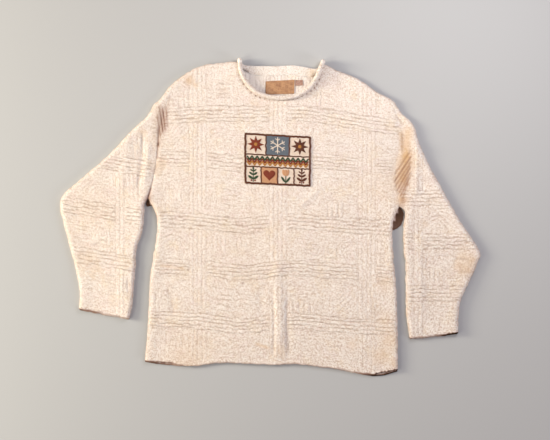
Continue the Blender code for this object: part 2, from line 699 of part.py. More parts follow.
def main():
    """Clears the scene and makes every piece."""
    for old in list(bpy.data.objects):
        bpy.data.objects.remove(old)
    back_and_labels()
    front_and_patch()
    left_sleeve()
    right_sleeve()
    neckband()


main()
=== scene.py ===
"""The looks of a heavy cotton pullover with a rolled neck, laid flat on a pale table.

Tables and sizes are millimetres on the laid garment: X to the right, Y from hem to neck, Z up from the
table. to_metres() takes them into the frame. The knit has coordinates of its own: across, along a course
of stitches, and up, along a wale. They equal X and Y where the cloth lies straight.
"""

import logging
import math
from dataclasses import dataclass, field
from enum import Enum
from functools import cached_property

import bpy
import numpy as np
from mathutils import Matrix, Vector
from mathutils.geometry import delaunay_2d_cdt
from mathutils.kdtree import KDTree

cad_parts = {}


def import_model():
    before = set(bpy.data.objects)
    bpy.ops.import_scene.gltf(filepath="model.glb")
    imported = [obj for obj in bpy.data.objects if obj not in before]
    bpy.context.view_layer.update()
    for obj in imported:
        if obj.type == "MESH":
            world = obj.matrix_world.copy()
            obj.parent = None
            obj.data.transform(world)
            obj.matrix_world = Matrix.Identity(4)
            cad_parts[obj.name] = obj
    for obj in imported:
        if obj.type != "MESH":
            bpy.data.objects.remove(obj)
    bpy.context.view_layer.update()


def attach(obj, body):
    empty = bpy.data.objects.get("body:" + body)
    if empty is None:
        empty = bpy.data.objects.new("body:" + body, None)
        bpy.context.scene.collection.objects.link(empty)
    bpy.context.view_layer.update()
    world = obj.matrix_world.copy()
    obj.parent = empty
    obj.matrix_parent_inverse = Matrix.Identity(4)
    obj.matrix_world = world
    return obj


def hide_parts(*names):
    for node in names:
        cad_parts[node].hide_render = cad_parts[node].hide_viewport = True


log = logging.getLogger("pullover")
Array = np.ndarray
Places = tuple[tuple[float, ...], ...]
Surface = tuple[Array, Array]  # points and faces
Material, Piece = bpy.types.Material, bpy.types.Object
Socket, Tree = bpy.types.NodeSocket, bpy.types.NodeTree

MIDDLE = np.array((-0.3, -3.6, 0.0))  # the frame's origin, in the coordinates of the tables
WALL = 2.6  # thickness of the heavy knit
GAP = 0.3  # clearance between two sewn pieces
LIE = WALL + GAP  # height of the upper layer's inside where it lies on the lower layer
WALL_ROUND = 1.2  # radius of a cut edge of the knit
KNIT_CREASE = 75.0  # degrees, above which an edge of the knit is sharp

# Edges of the cut pieces as they lie, as places on a smooth curve
HEM_FRONT = ((-289, -335), (-240, -339), (-183, -347), (-114, -339), (-45, -342), (14, -344), (40, -341),
             (70, -343), (151, -353), (224, -366), (254, -363), (294, -355))
HEM_BACK = ((-289, -338), (-245, -344), (-183, -348), (-114, -341), (-45, -342), (14, -345), (40, -343),
            (70, -344), (151, -355), (218, -368), (256, -369), (293, -360))
SIDE_RIGHT = ((294, -355), (293, -252), (289.5, -160), (284.5, -107), (281.5, -56), (281.5, -24),
              (286, -3), (297, 21))
SIDE_LEFT = ((-282, 40), (-267, 13), (-261, -8), (-261, -38), (-269, -93), (-277, -148), (-282, -252),
             (-289, -335))
# The back's cloth carried on into the armpit notches: a dark sheet of painted shade in place of their shadow
PIT_RIGHT = ((281.5, -40), (286, -34), (294, -28), (302.5, -20), (307, -8), (308, 4), (304.5, 12.5),
             (297, 21))
PIT_LEFT = ((-282, 40), (-285.5, 32), (-287, 26), (-284.5, 21), (-279, 22), (-272.5, 21), (-267.5, 13),
            (-264, 0), (-261, -16), (-261, -38))
ARMHOLE_RIGHT = ((297, 21), (290, 70), (288, 116), (296, 155), (303, 192), (292, 230), (262, 276.5))
ARMHOLE_LEFT = ((-220, 309), (-240, 256), (-254, 208), (-259, 162), (-266, 105), (-275, 63), (-282, 40))
SHOULDER_RIGHT = ((262, 276.5), (245, 285), (215, 306.5), (190, 320.5), (153, 334), (127.5, 346))
SHOULDER_LEFT = ((-78, 354), (-105, 353), (-155, 346), (-187, 332), (-220, 309))
SLEEVE_LEFT_INNER = ((-325, -237), (-318, -205), (-315, -165), (-311, -120), (-308, -75), (-296, -40),
                     (-291, 3), (-290, 26), (-282, 40))
SLEEVE_LEFT_OUTER = ((-220, 309), (-238, 290), (-252, 270), (-268, 256), (-284, 229), (-314, 201),
                     (-371, 141), (-434, 86), (-477, 47), (-484, 18), (-478, -10), (-462, -72),
                     (-449, -121), (-439, -176), (-441, -215))
CUFF_LEFT = ((-441, -215), (-400, -223), (-360, -231), (-325, -237))
SLEEVE_RIGHT_OUTER = ((433, -270), (434, -230), (441, -190), (467, -135), (478, -107), (484, -88),
                      (464, -52), (428, 3), (397, 59), (367, 114), (342, 169), (330, 208), (302, 236),
                      (284, 263), (262, 276.5))
SLEEVE_RIGHT_INNER = ((297, 21), (306, 15), (311, 5), (309, -10), (307, -32), (307, -66), (309, -90),
                      (312, -114), (312, -150), (312.5, -190), (313, -225), (317, -255), (321, -282))
CUFF_RIGHT = ((321, -282), (350, -280), (395, -275), (433, -270))
CUFF_PEEK = 3.5  # how far the lower layer of a cuff shows past the upper one
EDGE_STEP = 2.6  # spacing of the points along the edges

# Middle line of the neck roll: down the front from the left corner to the right one, then behind the neck
NECK_FRONT = ((-70, 351), (-68, 335), (-59, 313), (-46, 296), (-30, 283), (-10, 275), (13, 271), (36, 271),
              (59, 275), (78, 284), (93, 298), (106, 317), (114, 335), (119, 348))
NECK_BACK = ((119, 348), (114, 337), (102, 333), (82, 337), (59, 340.5), (45, 341), (15, 339.5),
             (-15, 339.5), (-50, 340.5), (-61, 342), (-68, 346), (-70, 351))
NECK_CORNERS = np.array((NECK_FRONT[0], NECK_FRONT[-1]), float)
NECK_MIDDLE = 25.0  # its place between left and right
TIP_RISE = 8.7  # how far the neck's right corner stands up
TIP_LEFT = 0.35  # the left corner's share of that
TIP_FADE = (18.0, 62.0)  # from a corner, where it starts to lie lower and lies flat

# What is sewn on, as corners
CHEST_PATCH = ((-60, 73), (93, 66), (94, 182), (-60, 191))
NECK_LABEL = ((-11, 279), (55, 281), (56, 313), (-11, 309.5))
SIZE_TAB = ((57.5, 299), (75, 300), (74.5, 312.5), (57.5, 312))


def linear(hex_colour: str) -> tuple[float, float, float, float]:
    """Turns an sRGB hex colour into the linear numbers that a shader takes.

    Args:
        hex_colour: the colour, such as "#F2E0CC".

    Returns:
        Red, green, blue and an alpha of 1.
    """
    parts = [int(hex_colour[k:k + 2], 16) / 255 for k in (1, 3, 5)]
    return (*(c / 12.92 if c <= 0.04045 else ((c + 0.055) / 1.055) ** 2.4 for c in parts), 1.0)


def new_material(name: str) -> tuple[Material, Tree, bpy.types.Node]:
    """Starts a material.

    Args:
        name: its name.

    Returns:
        The material, its node tree and its shader.
    """
    material = bpy.data.materials.new(name)
    material.use_nodes = True
    return material, material.node_tree, material.node_tree.nodes["Principled BSDF"]


def set_inputs(tree: Tree, node: bpy.types.Node, inputs: dict) -> None:
    """Gives a node's inputs their values and links.

    Args:
        tree: the tree that the node is in.
        node: the node.
        inputs: for each input's name or number, a value or the output socket to link from.
    """
    for name, value in inputs.items():
        if isinstance(value, Socket):
            tree.links.new(value, node.inputs[name])
        else:
            node.inputs[name].default_value = value


def add_node(tree: Tree, kind: str, inputs: dict | None = None, **settings) -> bpy.types.Node:
    """Adds a shader node with its settings, values and links.

    Args:
        tree: the material's tree.
        kind: the node's type without its first word, ShaderNode.
        inputs: as in set_inputs.
        settings: the node's own properties.

    Returns:
        The new node.
    """
    node = tree.nodes.new("ShaderNode" + kind)
    for name, value in settings.items():
        setattr(node, name, value)
    set_inputs(tree, node, inputs or {})
    return node


def smooth_step(low: float, high: float, values: Array) -> Array:
    """0 below low, 1 above high and a soft ramp between."""
    t = np.clip((values - low) / (high - low), 0.0, 1.0)
    return t * t * (3.0 - 2.0 * t)


def lengths(points: Array) -> Array:
    """How far along a line each of its points lies."""
    return np.concatenate([[0.0], np.cumsum(np.linalg.norm(np.diff(points, axis=0), axis=1))])


def nearest(points: Array, places: Array) -> Array:
    """How far each point is from the nearest of some places."""
    return np.linalg.norm(points[:, None, :] - places, axis=2).min(1)


def to_the_left(run: Array) -> Array:
    """Arrows of length 1 to the left of each step of a run."""
    run = run / np.linalg.norm(run, axis=1)[:, None]
    return np.column_stack([-run[:, 1], run[:, 0]])


def spaced(points: Array, count: int) -> Array:
    """Spaces points evenly along a line.

    Args:
        points: the line's points.
        count: how many points it gets.

    Returns:
        The new points.
    """
    run = lengths(points)
    stops = np.linspace(0.0, run[-1], count)
    return np.column_stack([np.interp(stops, run, points[:, k]) for k in range(points.shape[1])])


def curve(places: Places | Array, step: float) -> Array:
    """Points about a step apart on a smooth curve through the places.

    Args:
        places: the places, each with two numbers or more.
        step: the wanted spacing.

    Returns:
        The points, a row each.
    """
    p = np.array(places, float)
    p = np.vstack([2 * p[0] - p[1], p, 2 * p[-1] - p[-2]])
    dense = []
    for a, b, c, d in zip(p, p[1:], p[2:], p[3:]):
        for t in np.linspace(0.0, 1.0, 24, endpoint=False):
            bend = 2 * a - 5 * b + 4 * c - d
            dense.append(0.5 * (2 * b + (c - a) * t + bend * t**2 + (3 * b - a - 3 * c + d) * t**3))
    dense = np.array(dense + [p[-2]])
    return spaced(dense, max(2, round(lengths(dense)[-1] / step) + 1))


def inside(points: Array, outline: Array) -> Array:
    """Tells which points lie inside a closed outline.

    Args:
        points: the points to test.
        outline: the outline's points in order.

    Returns:
        Whether each point is inside.
    """
    found = np.zeros(len(points), bool)
    for (x0, y0), (x1, y1) in zip(outline, np.roll(outline, -1, axis=0)):
        if y0 != y1:
            spans = (points[:, 1] < y0) != (points[:, 1] < y1)
            at = np.flatnonzero(spans)
            crossing = x0 + (points[at, 1] - y0) * (x1 - x0) / (y1 - y0)
            found[at] ^= points[at, 0] < crossing
    return found


def ring_of(outline: Array) -> Array:
    """The outline with its first point again at the end."""
    return np.vstack([outline, outline[:1]])


def to_metres(points: Array) -> Array:
    """Points of the tables' coordinates in the frame's metres."""
    return (points - MIDDLE) * 0.001


WAVES = 7  # sine waves that make up the random humps
WAVE_SIZES = (0.75, 1.6)  # their lengths, in humps


def uneven(points: Array, size: float, seed: int) -> Array:
    """Soft random humps over the cloth, from about -1 to 1.

    Args:
        points: where to work it out.
        size: how wide a hump is.
        seed: the humps' seed.

    Returns:
        The height at each point.
    """
    random = np.random.default_rng(seed)
    height = np.zeros(len(points))
    for _ in range(WAVES):
        turn, phase = random.uniform(0.0, math.tau, 2)
        wave = math.tau / (size * random.uniform(*WAVE_SIZES))
        height += np.sin(wave * (points[:, 0] * math.cos(turn) + points[:, 1] * math.sin(turn)) + phase)
    return height / 3.2


def stepped(across: Array, along: Array, cell: tuple[float, float], seed: int) -> Array:
    """Random steps of -1, 0 or 1 that hold over cells of the knit, each row of cells set off at random.

    Args:
        across: where the points are on the cells' long way.
        along: where they are on the other way.
        cell: the cells' size on both ways.
        seed: the seed of the steps.

    Returns:
        The step at each point.
    """
    random = np.random.default_rng(seed)
    steps = random.choice((-1.0, 0.0, 0.0, 1.0), (97, 89))
    offsets = random.uniform(0.0, 97.0, 89)
    row = np.floor(along / cell[1]).astype(int) % 89
    column = np.floor(across / cell[0] + offsets[row]).astype(int) % 97
    return steps[column, row]


class Line:
    """A line of points on the cloth that answers how far other points are from it."""

    SPACING = 0.6

    def __init__(self, points: Array) -> None:
        """Takes the line's points.

        Args:
            points: the points, at any spacing.
        """
        dense = spaced(points[:, :2], max(2, math.ceil(lengths(points)[-1] / self.SPACING)))
        self.tree = KDTree(len(dense))
        for i, (x, y) in enumerate(dense):
            self.tree.insert((x, y, 0.0), i)
        self.tree.balance()

    def distance(self, points: Array) -> Array:
        """How far each point is from the line."""
        return np.array([self.tree.find((x, y, 0.0))[2] for x, y in points])


class EdgeKind(Enum):
    """What becomes of an edge of a cut piece."""

    FOLD = "the cloth goes on round it"
    SEAM = "sewn to its neighbour"
    FREE = "a plain end of the cloth"


@dataclass(frozen=True)
class Edge:
    """One edge of a cut piece."""

    points: Array  # the points along it
    kind: EdgeKind  # what becomes of it
    soft: float = 0.0  # how far in the cloth's rounding reaches
    hollow: float = 0.0  # how far in a gentle hollow beside it reaches


class Outline:
    """The closed outline of a cut piece, counterclockwise, with the kind of each stretch."""

    SHARP = 0.35  # sine of the turn above which a point counts as a corner
    CROWDED = 0.4  # least spacing of the points beside a corner

    def __init__(self, edges: tuple[Edge, ...], tight: dict[EdgeKind, float] | None = None) -> None:
        """Joins the edges.

        Args:
            edges: the edges in order.
            tight: how far each kind of edge is moved in from its line.
        """
        self.edges = edges
        self.kinds = [edge.kind for edge in edges for _ in edge.points[:-1]]
        self.points = np.vstack([edge.points[:-1] for edge in edges])
        self.points = self.moved_in(tight or {})
        self.lines = [Line(edge.points) for edge in edges]
        self.whole = Line(ring_of(self.points))

    def moved_in(self, amounts: dict[EdgeKind, float]) -> Array:
        """Moves each kind of edge inwards by its own amount.

        Args:
            amounts: how far each kind of edge moves.

        Returns:
            The moved points.
        """
        run = np.roll(self.points, -1, axis=0) - self.points
        run /= np.linalg.norm(run, axis=1)[:, None]
        normal = np.column_stack([-run[:, 1], run[:, 0]])
        result = self.points.copy()
        corners = []
        for i, kind in enumerate(self.kinds):
            both = np.array([normal[i - 1], normal[i]])
            shift = np.array([amounts.get(self.kinds[i - 1], 0.0), amounts.get(kind, 0.0)])
            if abs(np.linalg.det(both)) > self.SHARP:
                result[i] += np.linalg.solve(both, shift)
                corners.append(i)
            else:
                result[i] += both.T @ shift / (2.0 if self.kinds[i - 1] == kind else 1.0)
        for i in corners:
            self.spread(result, i, 1, run[i])
            self.spread(result, i, -1, -run[i - 1])
        return result

    def spread(self, points: Array, corner: int, way: int, run: Array) -> None:
        """Puts the points beside a moved corner back in order where it has passed them.

        Args:
            points: the moved points, which are changed.
            corner: the corner's number.
            way: 1 for the points after it, -1 for those before.
            run: the direction in which they should follow.
        """
        size, k = len(points), 1
        while (points[(corner + way * k) % size] - points[corner]) @ run < self.CROWDED * k and k < 9:
            k += 1
        end = points[(corner + way * k) % size].copy()
        for j in range(1, k):
            points[(corner + way * j) % size] = points[corner] + (end - points[corner]) * j / k

    def rows_inside(self, steps: tuple[float, ...]) -> Array:
        """Lays rows of points that follow the outline inside it.

        Args:
            steps: the rows' distances from the outline.

        Returns:
            The points of all the rows.
        """
        found = []
        for step in steps:
            row = self.moved_in(dict.fromkeys(EdgeKind, step))
            row = row[inside(row, self.points)]
            found.append(row[self.whole.distance(row) > 0.9 * step])
        return np.vstack(found)

    def on(self, kinds: set[EdgeKind]) -> list[int]:
        """The numbers of the points from which a stretch of one of these kinds starts."""
        return [i for i, kind in enumerate(self.kinds) if kind in kinds]


def filled(outline: Array, *inner: Array) -> Surface:
    """Fills an outline with triangles between its own points and those inside it.

    Args:
        outline: its points in order.
        inner: the points inside it, in any number of parts.

    Returns:
        All the points, the outline's first, and the triangles as numbers of points.
    """
    points = np.vstack([outline, *inner])
    ring = [(i, (i + 1) % len(outline)) for i in range(len(outline))]
    found = delaunay_2d_cdt([Vector(p) for p in points], ring, [], 1, 1e-4)
    origin = np.array([ids[0] for ids in found[3]])
    return points, origin[np.array(found[2])]


class Shell:
    """Collects the sheets and the strips between them that close one wall of cloth."""

    def __init__(self) -> None:
        """Starts with nothing."""
        self.parts: list[Array] = []
        self.faces: list[Array] = []
        self.size = 0

    @classmethod
    def wall(cls, ring: int, upper: tuple[Array, ...], lower: tuple[Array, ...]) -> "Shell":
        """Closes one wall with an upper sheet, a lower one and the strip between their outlines.

        Args:
            ring: the number of points in each outline.
            upper: the upper sheet's plan, triangles and heights.
            lower: the same of the lower sheet.

        Returns:
            The wall.
        """
        shell = cls()
        high, low = shell.sheet(*upper, True), shell.sheet(*lower, False)
        shell.strip(low, high, ring, list(range(ring)))
        return shell

    def points(self, points: Array) -> int:
        """Adds points.

        Args:
            points: the points.

        Returns:
            The number of the first.
        """
        start = self.size
        self.parts.append(points)
        self.size += len(points)
        return start

    def sheet(self, plan: Array, triangles: Array, heights: Array | float, up: bool) -> int:
        """Adds a sheet over its plan.

        Args:
            plan: its points, seen from above.
            triangles: its faces.
            heights: the points' heights.
            up: whether it faces up.

        Returns:
            The number of its first point.
        """
        start = self.points(np.column_stack([plan, heights + np.zeros(len(plan))]))
        self.faces.append(start + (triangles if up else triangles[:, ::-1]))
        return start

    def strip(self, low: int, high: int, ring: int, ends: list[int]) -> None:
        """Joins two rings of points with a strip that faces out where low lies below high.

        Args:
            low: the number of one ring's first point.
            high: the same of the other ring.
            ring: the number of points in each.
            ends: the points from which the joined stretches start.
        """
        a = np.array(ends, int)
        b = (a + 1) % ring
        self.faces.append(np.column_stack([low + a, low + b, high + b]))
        self.faces.append(np.column_stack([low + a, high + b, high + a]))

    def fan(self, corners: list[int]) -> None:
        """Adds a flat face with any number of corners."""
        self.faces.append(np.array([(corners[0], b, c) for b, c in zip(corners[1:], corners[2:])]))

    def joined(self) -> Surface:
        """All the points and all the faces."""
        return np.vstack(self.parts), np.vstack(self.faces)


@dataclass
class Dressing:
    """What a finished piece carries beside its shape."""

    finish: Material
    slot: str  # the record's material slot
    replaced: bool = True  # whether it stands for the CAD node of the slot's name
    knit: Array | None = None  # across and up for each point, in millimetres
    # named numbers for each point that the material reads
    marks: dict[str, Array] = field(default_factory=dict)
    # for the corners of the first faces, where they lie from groove to groove and how strongly
    ridges: Array | None = None
    crease: float = 60.0  # the angle in degrees above which an edge is sharp


def make_piece(name: str, points: Array, triangles: Array, dressing: Dressing) -> Piece:
    """Makes one smooth piece that rides on the garment.

    Args:
        name: the piece's name.
        points: its points in the tables' millimetres.
        triangles: its faces, as numbers of points.
        dressing: its material, slot, replaced nodes and marks.

    Returns:
        The new object.
    """
    mesh = bpy.data.meshes.new(name)
    mesh.vertices.add(len(points))
    mesh.vertices.foreach_set("co", to_metres(points).astype(np.float32).ravel())
    mesh.loops.add(3 * len(triangles))
    mesh.loops.foreach_set("vertex_index", triangles.astype(np.int32).ravel())
    mesh.polygons.add(len(triangles))
    mesh.polygons.foreach_set("loop_start", np.arange(0, 3 * len(triangles), 3, dtype=np.int32))
    mesh.update(calc_edges=True)
    knit = points[:, :2] if dressing.knit is None else dressing.knit
    layer = mesh.uv_layers.new(name="knit")
    layer.data.foreach_set("uv", (0.001 * knit[triangles.ravel()]).astype(np.float32).ravel())
    if dressing.marks:
        ridges = np.zeros((3 * len(triangles), 2), np.float32)
        if dressing.ridges is not None:
            ridges[:len(dressing.ridges)] = dressing.ridges
        mesh.uv_layers.new(name="ridge").data.foreach_set("uv", ridges.ravel())
    for mark, values in dressing.marks.items():
        mesh.attributes.new(mark, "FLOAT", "POINT").data.foreach_set("value", values.astype(np.float32))
    mesh.validate()
    mesh.materials.append(dressing.finish)
    mesh.shade_smooth()
    mesh.set_sharp_from_angle(angle=math.radians(dressing.crease))
    piece = bpy.data.objects.new(name, mesh)
    bpy.context.scene.collection.objects.link(piece)
    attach(piece, "root")
    if dressing.replaced:
        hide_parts(dressing.slot)
    log.info("%s: %d triangles", name, len(triangles))
    return piece


class Pattern(Enum):
    """Small textures that fill the places between the knit's bands."""

    LADDER = "short purl ridges along the courses"
    RIBS = "short ribs along the wales"
    BRICKS = "staggered purl blocks"
    NESTED = "rectangles in each other"
    SLANTS = "slanting ridges"
    ARCS = "arcs round the lower middle"


@dataclass(frozen=True)
class Block:
    """One filled place in the knit."""

    x: float  # its middle, across
    y: float  # its middle, up
    wide: float  # its width
    high: float  # its height
    pattern: Pattern  # what fills it
    pitch: float = 9.5  # the distance from ridge to ridge
    rise: float = 0.8  # how far the ridges stand out

    FADE = 2.2
    BRICK = 1.6  # width of a brick in pitches

    def inset(self, across: Array, up: Array) -> Array:
        """How far inside the block each point of the knit lies, negative outside it."""
        return np.minimum(self.wide / 2 - np.abs(across - self.x), self.high / 2 - np.abs(up - self.y))

    def strength(self, across: Array, up: Array) -> Array:
        """How far the block's ridges stand out at each point of the knit, fading at its edge."""
        return self.rise * smooth_step(0.0, self.FADE, self.inset(across, up))

    def phase(self, across: Array, up: Array) -> Array:
        """Works out where points of the knit lie from groove to groove.

        Args:
            across, up: the points' places in the knit.

        Returns:
            The places, a whole number in each groove.
        """
        u, v = across - self.x, up - self.y
        if self.pattern is Pattern.RIBS:
            run = u
        elif self.pattern is Pattern.SLANTS:
            run = 0.75 * (u - v)
        elif self.pattern is Pattern.NESTED:
            run = np.maximum(np.abs(u) * self.high / self.wide, np.abs(v))
        elif self.pattern is Pattern.ARCS:
            run = np.hypot(u, v + 0.7 * self.high)
        elif self.pattern is Pattern.BRICKS:
            run = v + 0.5 * self.pitch * (np.floor(u / (self.BRICK * self.pitch)) % 2)
        else:
            run = v
        return run / self.pitch + 0.5


@dataclass(frozen=True)
class Bands:
    """Bands of ridges that run along the courses or along the wales."""

    middles: tuple[float, ...]  # the middle line of each band
    pitch: float  # the distance from ridge to ridge
    ridges: int  # the ridges in each band

    MARGIN = 0.15  # pitches past the last groove

    def holds(self, values: Array, number: int) -> Array:
        """True within one band."""
        return np.abs(values - self.middles[number]) < self.pitch * (self.ridges / 2 + self.MARGIN)

    def phase(self, values: Array, number: int) -> Array:
        """Where each value lies from groove to groove of one band, a whole number in each groove."""
        return (values - self.middles[number]) / self.pitch + 0.5 * (self.ridges % 2)


@dataclass(frozen=True)
class Fold:
    """A soft fold or crease from one place to another."""

    x0: float  # where it starts
    y0: float  # where it starts
    x1: float  # where it ends
    y1: float  # where it ends
    width: float  # its half width
    rise: float  # its height, which is negative for a trough
    bow: float = 0.0  # how far its middle bows to the left of its run

    REACH = 3.0

    def height(self, points: Array) -> Array:
        """Works out its rise: round across, and fading towards both ends.

        Args:
            points: the points.

        Returns:
            Its height at each.
        """
        start, end = np.array((self.x0, self.y0), float), np.array((self.x1, self.y1), float)
        run = end - start
        length = float(np.hypot(*run))
        run /= length
        to = points - start
        t = to @ run / length
        side = to @ np.array((-run[1], run[0])) - self.bow * 4.0 * t * (1.0 - t)
        reach = self.width / length
        fade = smooth_step(-reach, 1.5 * reach, t) * smooth_step(-reach, 1.5 * reach, 1.0 - t)
        near = (np.abs(side) < self.REACH * self.width) & (fade > 0)
        height = np.zeros(len(points))
        height[near] = self.rise * (np.exp(-((side / self.width) ** 2)) * fade)[near]
        return height


@dataclass(frozen=True)
class Mark:
    """A faintly stained place, a spot of painted shade or a small pit in the cloth."""

    x: float  # its middle
    y: float  # its middle
    reach: float  # its radius
    depth: float  # its strength

    def height(self, points: Array) -> Array:
        """Its strength at each point."""
        away = np.linalg.norm(points - (self.x, self.y), axis=1)
        return self.depth * np.exp(-((away / self.reach) ** 2))


BODY_ROWS = Bands(middles=(234.0, 127.0, -16.0, -123.0, -246.0), pitch=8.6, ridges=4)
BODY_RIBS = Bands(middles=(-167.0, 18.0, 223.0), pitch=10.0, ridges=4)
LEFT_ROWS = Bands(middles=(117.0, 4.0, -106.0), pitch=8.6, ridges=4)
LEFT_RIBS = Bands(middles=(-346.0,), pitch=10.0, ridges=2)
RIGHT_ROWS = Bands(middles=(40.0, -60.0, -179.0), pitch=8.6, ridges=4)
RIGHT_RIBS = Bands(middles=(341.0,), pitch=10.0, ridges=2)

# How far the body's courses lie off their straight line, from the left side to the right one
SAG = ((-300, 10), (-240, 7), (-160, 2), (-70, -8), (-20, -4), (45, 3), (140, -4), (210, -9), (300, -14))

LADDER, RIBS, BRICKS, NESTED, SLANTS, ARCS = Pattern
BODY_BLOCKS = tuple(Block(*row) for row in (
    (-107, 286, 34, 52, LADDER, 10.8, 1.1), (-93, 47, 36, 44, LADDER, 11.5, 1.1),
    (-106, -198, 37, 48, LADDER, 12.2, 1.2), (-62, -193, 40, 44, ARCS, 11.0, 0.8),
    (-242, -196, 26, 52, NESTED, 10.5, 1.1), (95, -84, 36, 46, LADDER, 11.5, 1.1),
    (139, -77, 36, 44, NESTED, 11.5, 0.9), (187, -70, 32, 40, ARCS, 10.0, 0.7),
    (150, 18, 50, 36, RIBS, 12.0, 1.2), (72, -215, 52, 32, RIBS, 13.0, 1.1),
    (172, -193, 42, 56, SLANTS, 9.5, 0.9), (141, -302, 30, 24, LADDER, 9.5, 1.0),
    (84, -308, 50, 24, ARCS, 9.0, 0.8), (256, -124, 22, 50, LADDER, 13.0, 0.9),
    (112, 272, 26, 36, RIBS, 10.4, 1.1), (227, 285, 22, 28, RIBS, 9.2, 0.8),
    (-193, 268, 26, 34, RIBS, 10.0, 1.0), (-60, 292, 36, 44, BRICKS, 8.0, 0.6),
    (165, 282, 56, 36, BRICKS, 8.6, 0.6), (-118, 190, 44, 30, ARCS, 9.5, 0.9),
    (-108, 96, 60, 24, LADDER, 9.2, 0.7), (-212, 190, 44, 40, SLANTS, 9.0, 0.6),
    (-222, 82, 50, 44, BRICKS, 9.0, 0.7), (-218, 38, 50, 30, RIBS, 9.4, 0.6),
    (150, 172, 60, 22, LADDER, 8.8, 0.7), (150, 96, 60, 30, LADDER, 9.4, 0.9),
    (150, 60, 50, 26, ARCS, 9.0, 0.7), (262, 172, 30, 44, BRICKS, 9.0, 0.7),
    (258, 78, 34, 48, LADDER, 9.0, 0.7), (258, 30, 34, 36, SLANTS, 9.0, 0.6),
    (78, 36, 56, 34, BRICKS, 9.0, 0.7), (-40, 38, 44, 36, RIBS, 10.0, 0.6),
    (-118, -60, 50, 32, RIBS, 10.0, 0.7), (-60, -58, 44, 40, NESTED, 10.0, 0.8),
    (-118, -92, 48, 22, BRICKS, 8.6, 0.7), (-224, -58, 48, 40, ARCS, 10.0, 0.8),
    (-226, -98, 48, 24, BRICKS, 8.6, 0.7), (-205, -190, 32, 56, BRICKS, 9.0, 0.6),
    (-24, -180, 30, 60, BRICKS, 9.4, 0.6), (66, -160, 50, 24, LADDER, 9.0, 0.6),
    (122, -165, 44, 28, ARCS, 9.0, 0.7), (120, -208, 34, 34, BRICKS, 9.0, 0.7),
    (262, -190, 30, 56, SLANTS, 9.0, 0.6), (258, -62, 28, 40, NESTED, 10.0, 0.8),
    (62, -62, 26, 44, BRICKS, 9.0, 0.6), (-222, -290, 50, 40, NESTED, 10.0, 0.8),
    (-110, -288, 60, 30, ARCS, 10.0, 0.7), (-40, -300, 60, 30, LADDER, 10.0, 0.7),
    (196, -302, 40, 34, BRICKS, 9.0, 0.6), (262, -300, 34, 44, SLANTS, 9.0, 0.6),
    (-110, -318, 90, 14, LADDER, 9.0, 0.6)))
LEFT_BLOCKS = tuple(Block(*row) for row in (
    (-425, 60, 50, 36, SLANTS, 9.0, 0.7), (-385, 78, 40, 50, BRICKS, 9.0, 0.6),
    (-318, 70, 34, 60, RIBS, 9.4, 0.7), (-350, 168, 36, 50, BRICKS, 9.0, 0.8),
    (-300, 170, 34, 56, RIBS, 9.4, 0.7), (-430, -52, 46, 50, LADDER, 9.4, 0.8),
    (-385, -50, 36, 56, NESTED, 10.0, 0.9), (-320, -44, 30, 60, BRICKS, 9.0, 0.6),
    (-410, -160, 40, 60, ARCS, 9.4, 0.8), (-368, -164, 34, 60, LADDER, 9.0, 0.8),
    (-332, -165, 24, 60, RIBS, 9.0, 0.6)))
RIGHT_BLOCKS = tuple(Block(*row) for row in (
    (362, 92, 46, 40, SLANTS, 9.0, 0.7), (328, 150, 40, 50, BRICKS, 9.0, 0.7),
    (388, -8, 50, 44, ARCS, 8.6, 1.0), (330, -8, 34, 44, BRICKS, 9.0, 0.6),
    (384, -142, 44, 30, RIBS, 11.0, 1.1), (440, -116, 44, 40, NESTED, 9.4, 0.9),
    (392, -100, 40, 34, ARCS, 9.0, 0.8), (325, -118, 26, 60, BRICKS, 9.0, 0.6),
    (410, -226, 50, 40, LADDER, 9.2, 1.0), (366, -228, 34, 44, SLANTS, 9.0, 0.7)))

# The soft folds of the laid garment, which run on from piece to piece
FOLDS = tuple(Fold(*row) for row in (
    (18, -95, 20, -325, 17, 2.6), (-14, -160, -20, -225, 8, -1.1, -4), (2, -165, 6, -322, 5, -1.5, 5),
    (40, -190, 44, -322, 6, -1.5, -3), (66, 17, 116, 63, 7, 1.4), (-236, -168, -226, -232, 7, -1.0, 6),
    (-222, 262, -208, 180, 12, 1.4), (278, 232, 291, 196, 8, 1.2), (-150, -60, -205, -110, 16, 0.9, 6),
    (150, -165, 235, -215, 18, 1.0, -8), (-190, 70, -235, 20, 14, 1.1, 5), (205, 60, 255, 10, 15, 1.2, -5),
    (-246, 236, -253, 176, 9, -1.2), (-293, 195, -305, 60, 6, -1.6, 3), (-279, 168, -290, 70, 6, 1.5),
    (-330, 188, -345, 60, 12, 1.2, 6), (-405, -68, -385, -62, 4, -1.3), (-329, -150, -323, -188, 5, -1.4),
    (-340, -60, -352, -190, 12, 1.1, 5), (-455, 40, -395, 20, 14, 1.0), (338, 168, 335, 40, 9, 2.4),
    (321, 134, 284, 76, 2.6, 1.5), (324, 120, 290, 64, 2.6, 1.5), (326, 105, 295, 52, 2.6, 1.5),
    (327, 90, 300, 44, 2.6, 1.4), (327, 74, 306, 38, 2.6, 1.2), (345, -40, 352, -250, 12, 1.3, -4),
    (440, -95, 465, -100, 14, 1.0), (436, -110, 446, -127, 2.6, 0.5), (446, -127, 461, -110, 2.6, 0.5),
    (436, -122, 447, -139, 2.6, 0.5), (447, -139, 462, -122, 2.6, 0.5), (405, -190, 440, -205, 8, 1.0)))
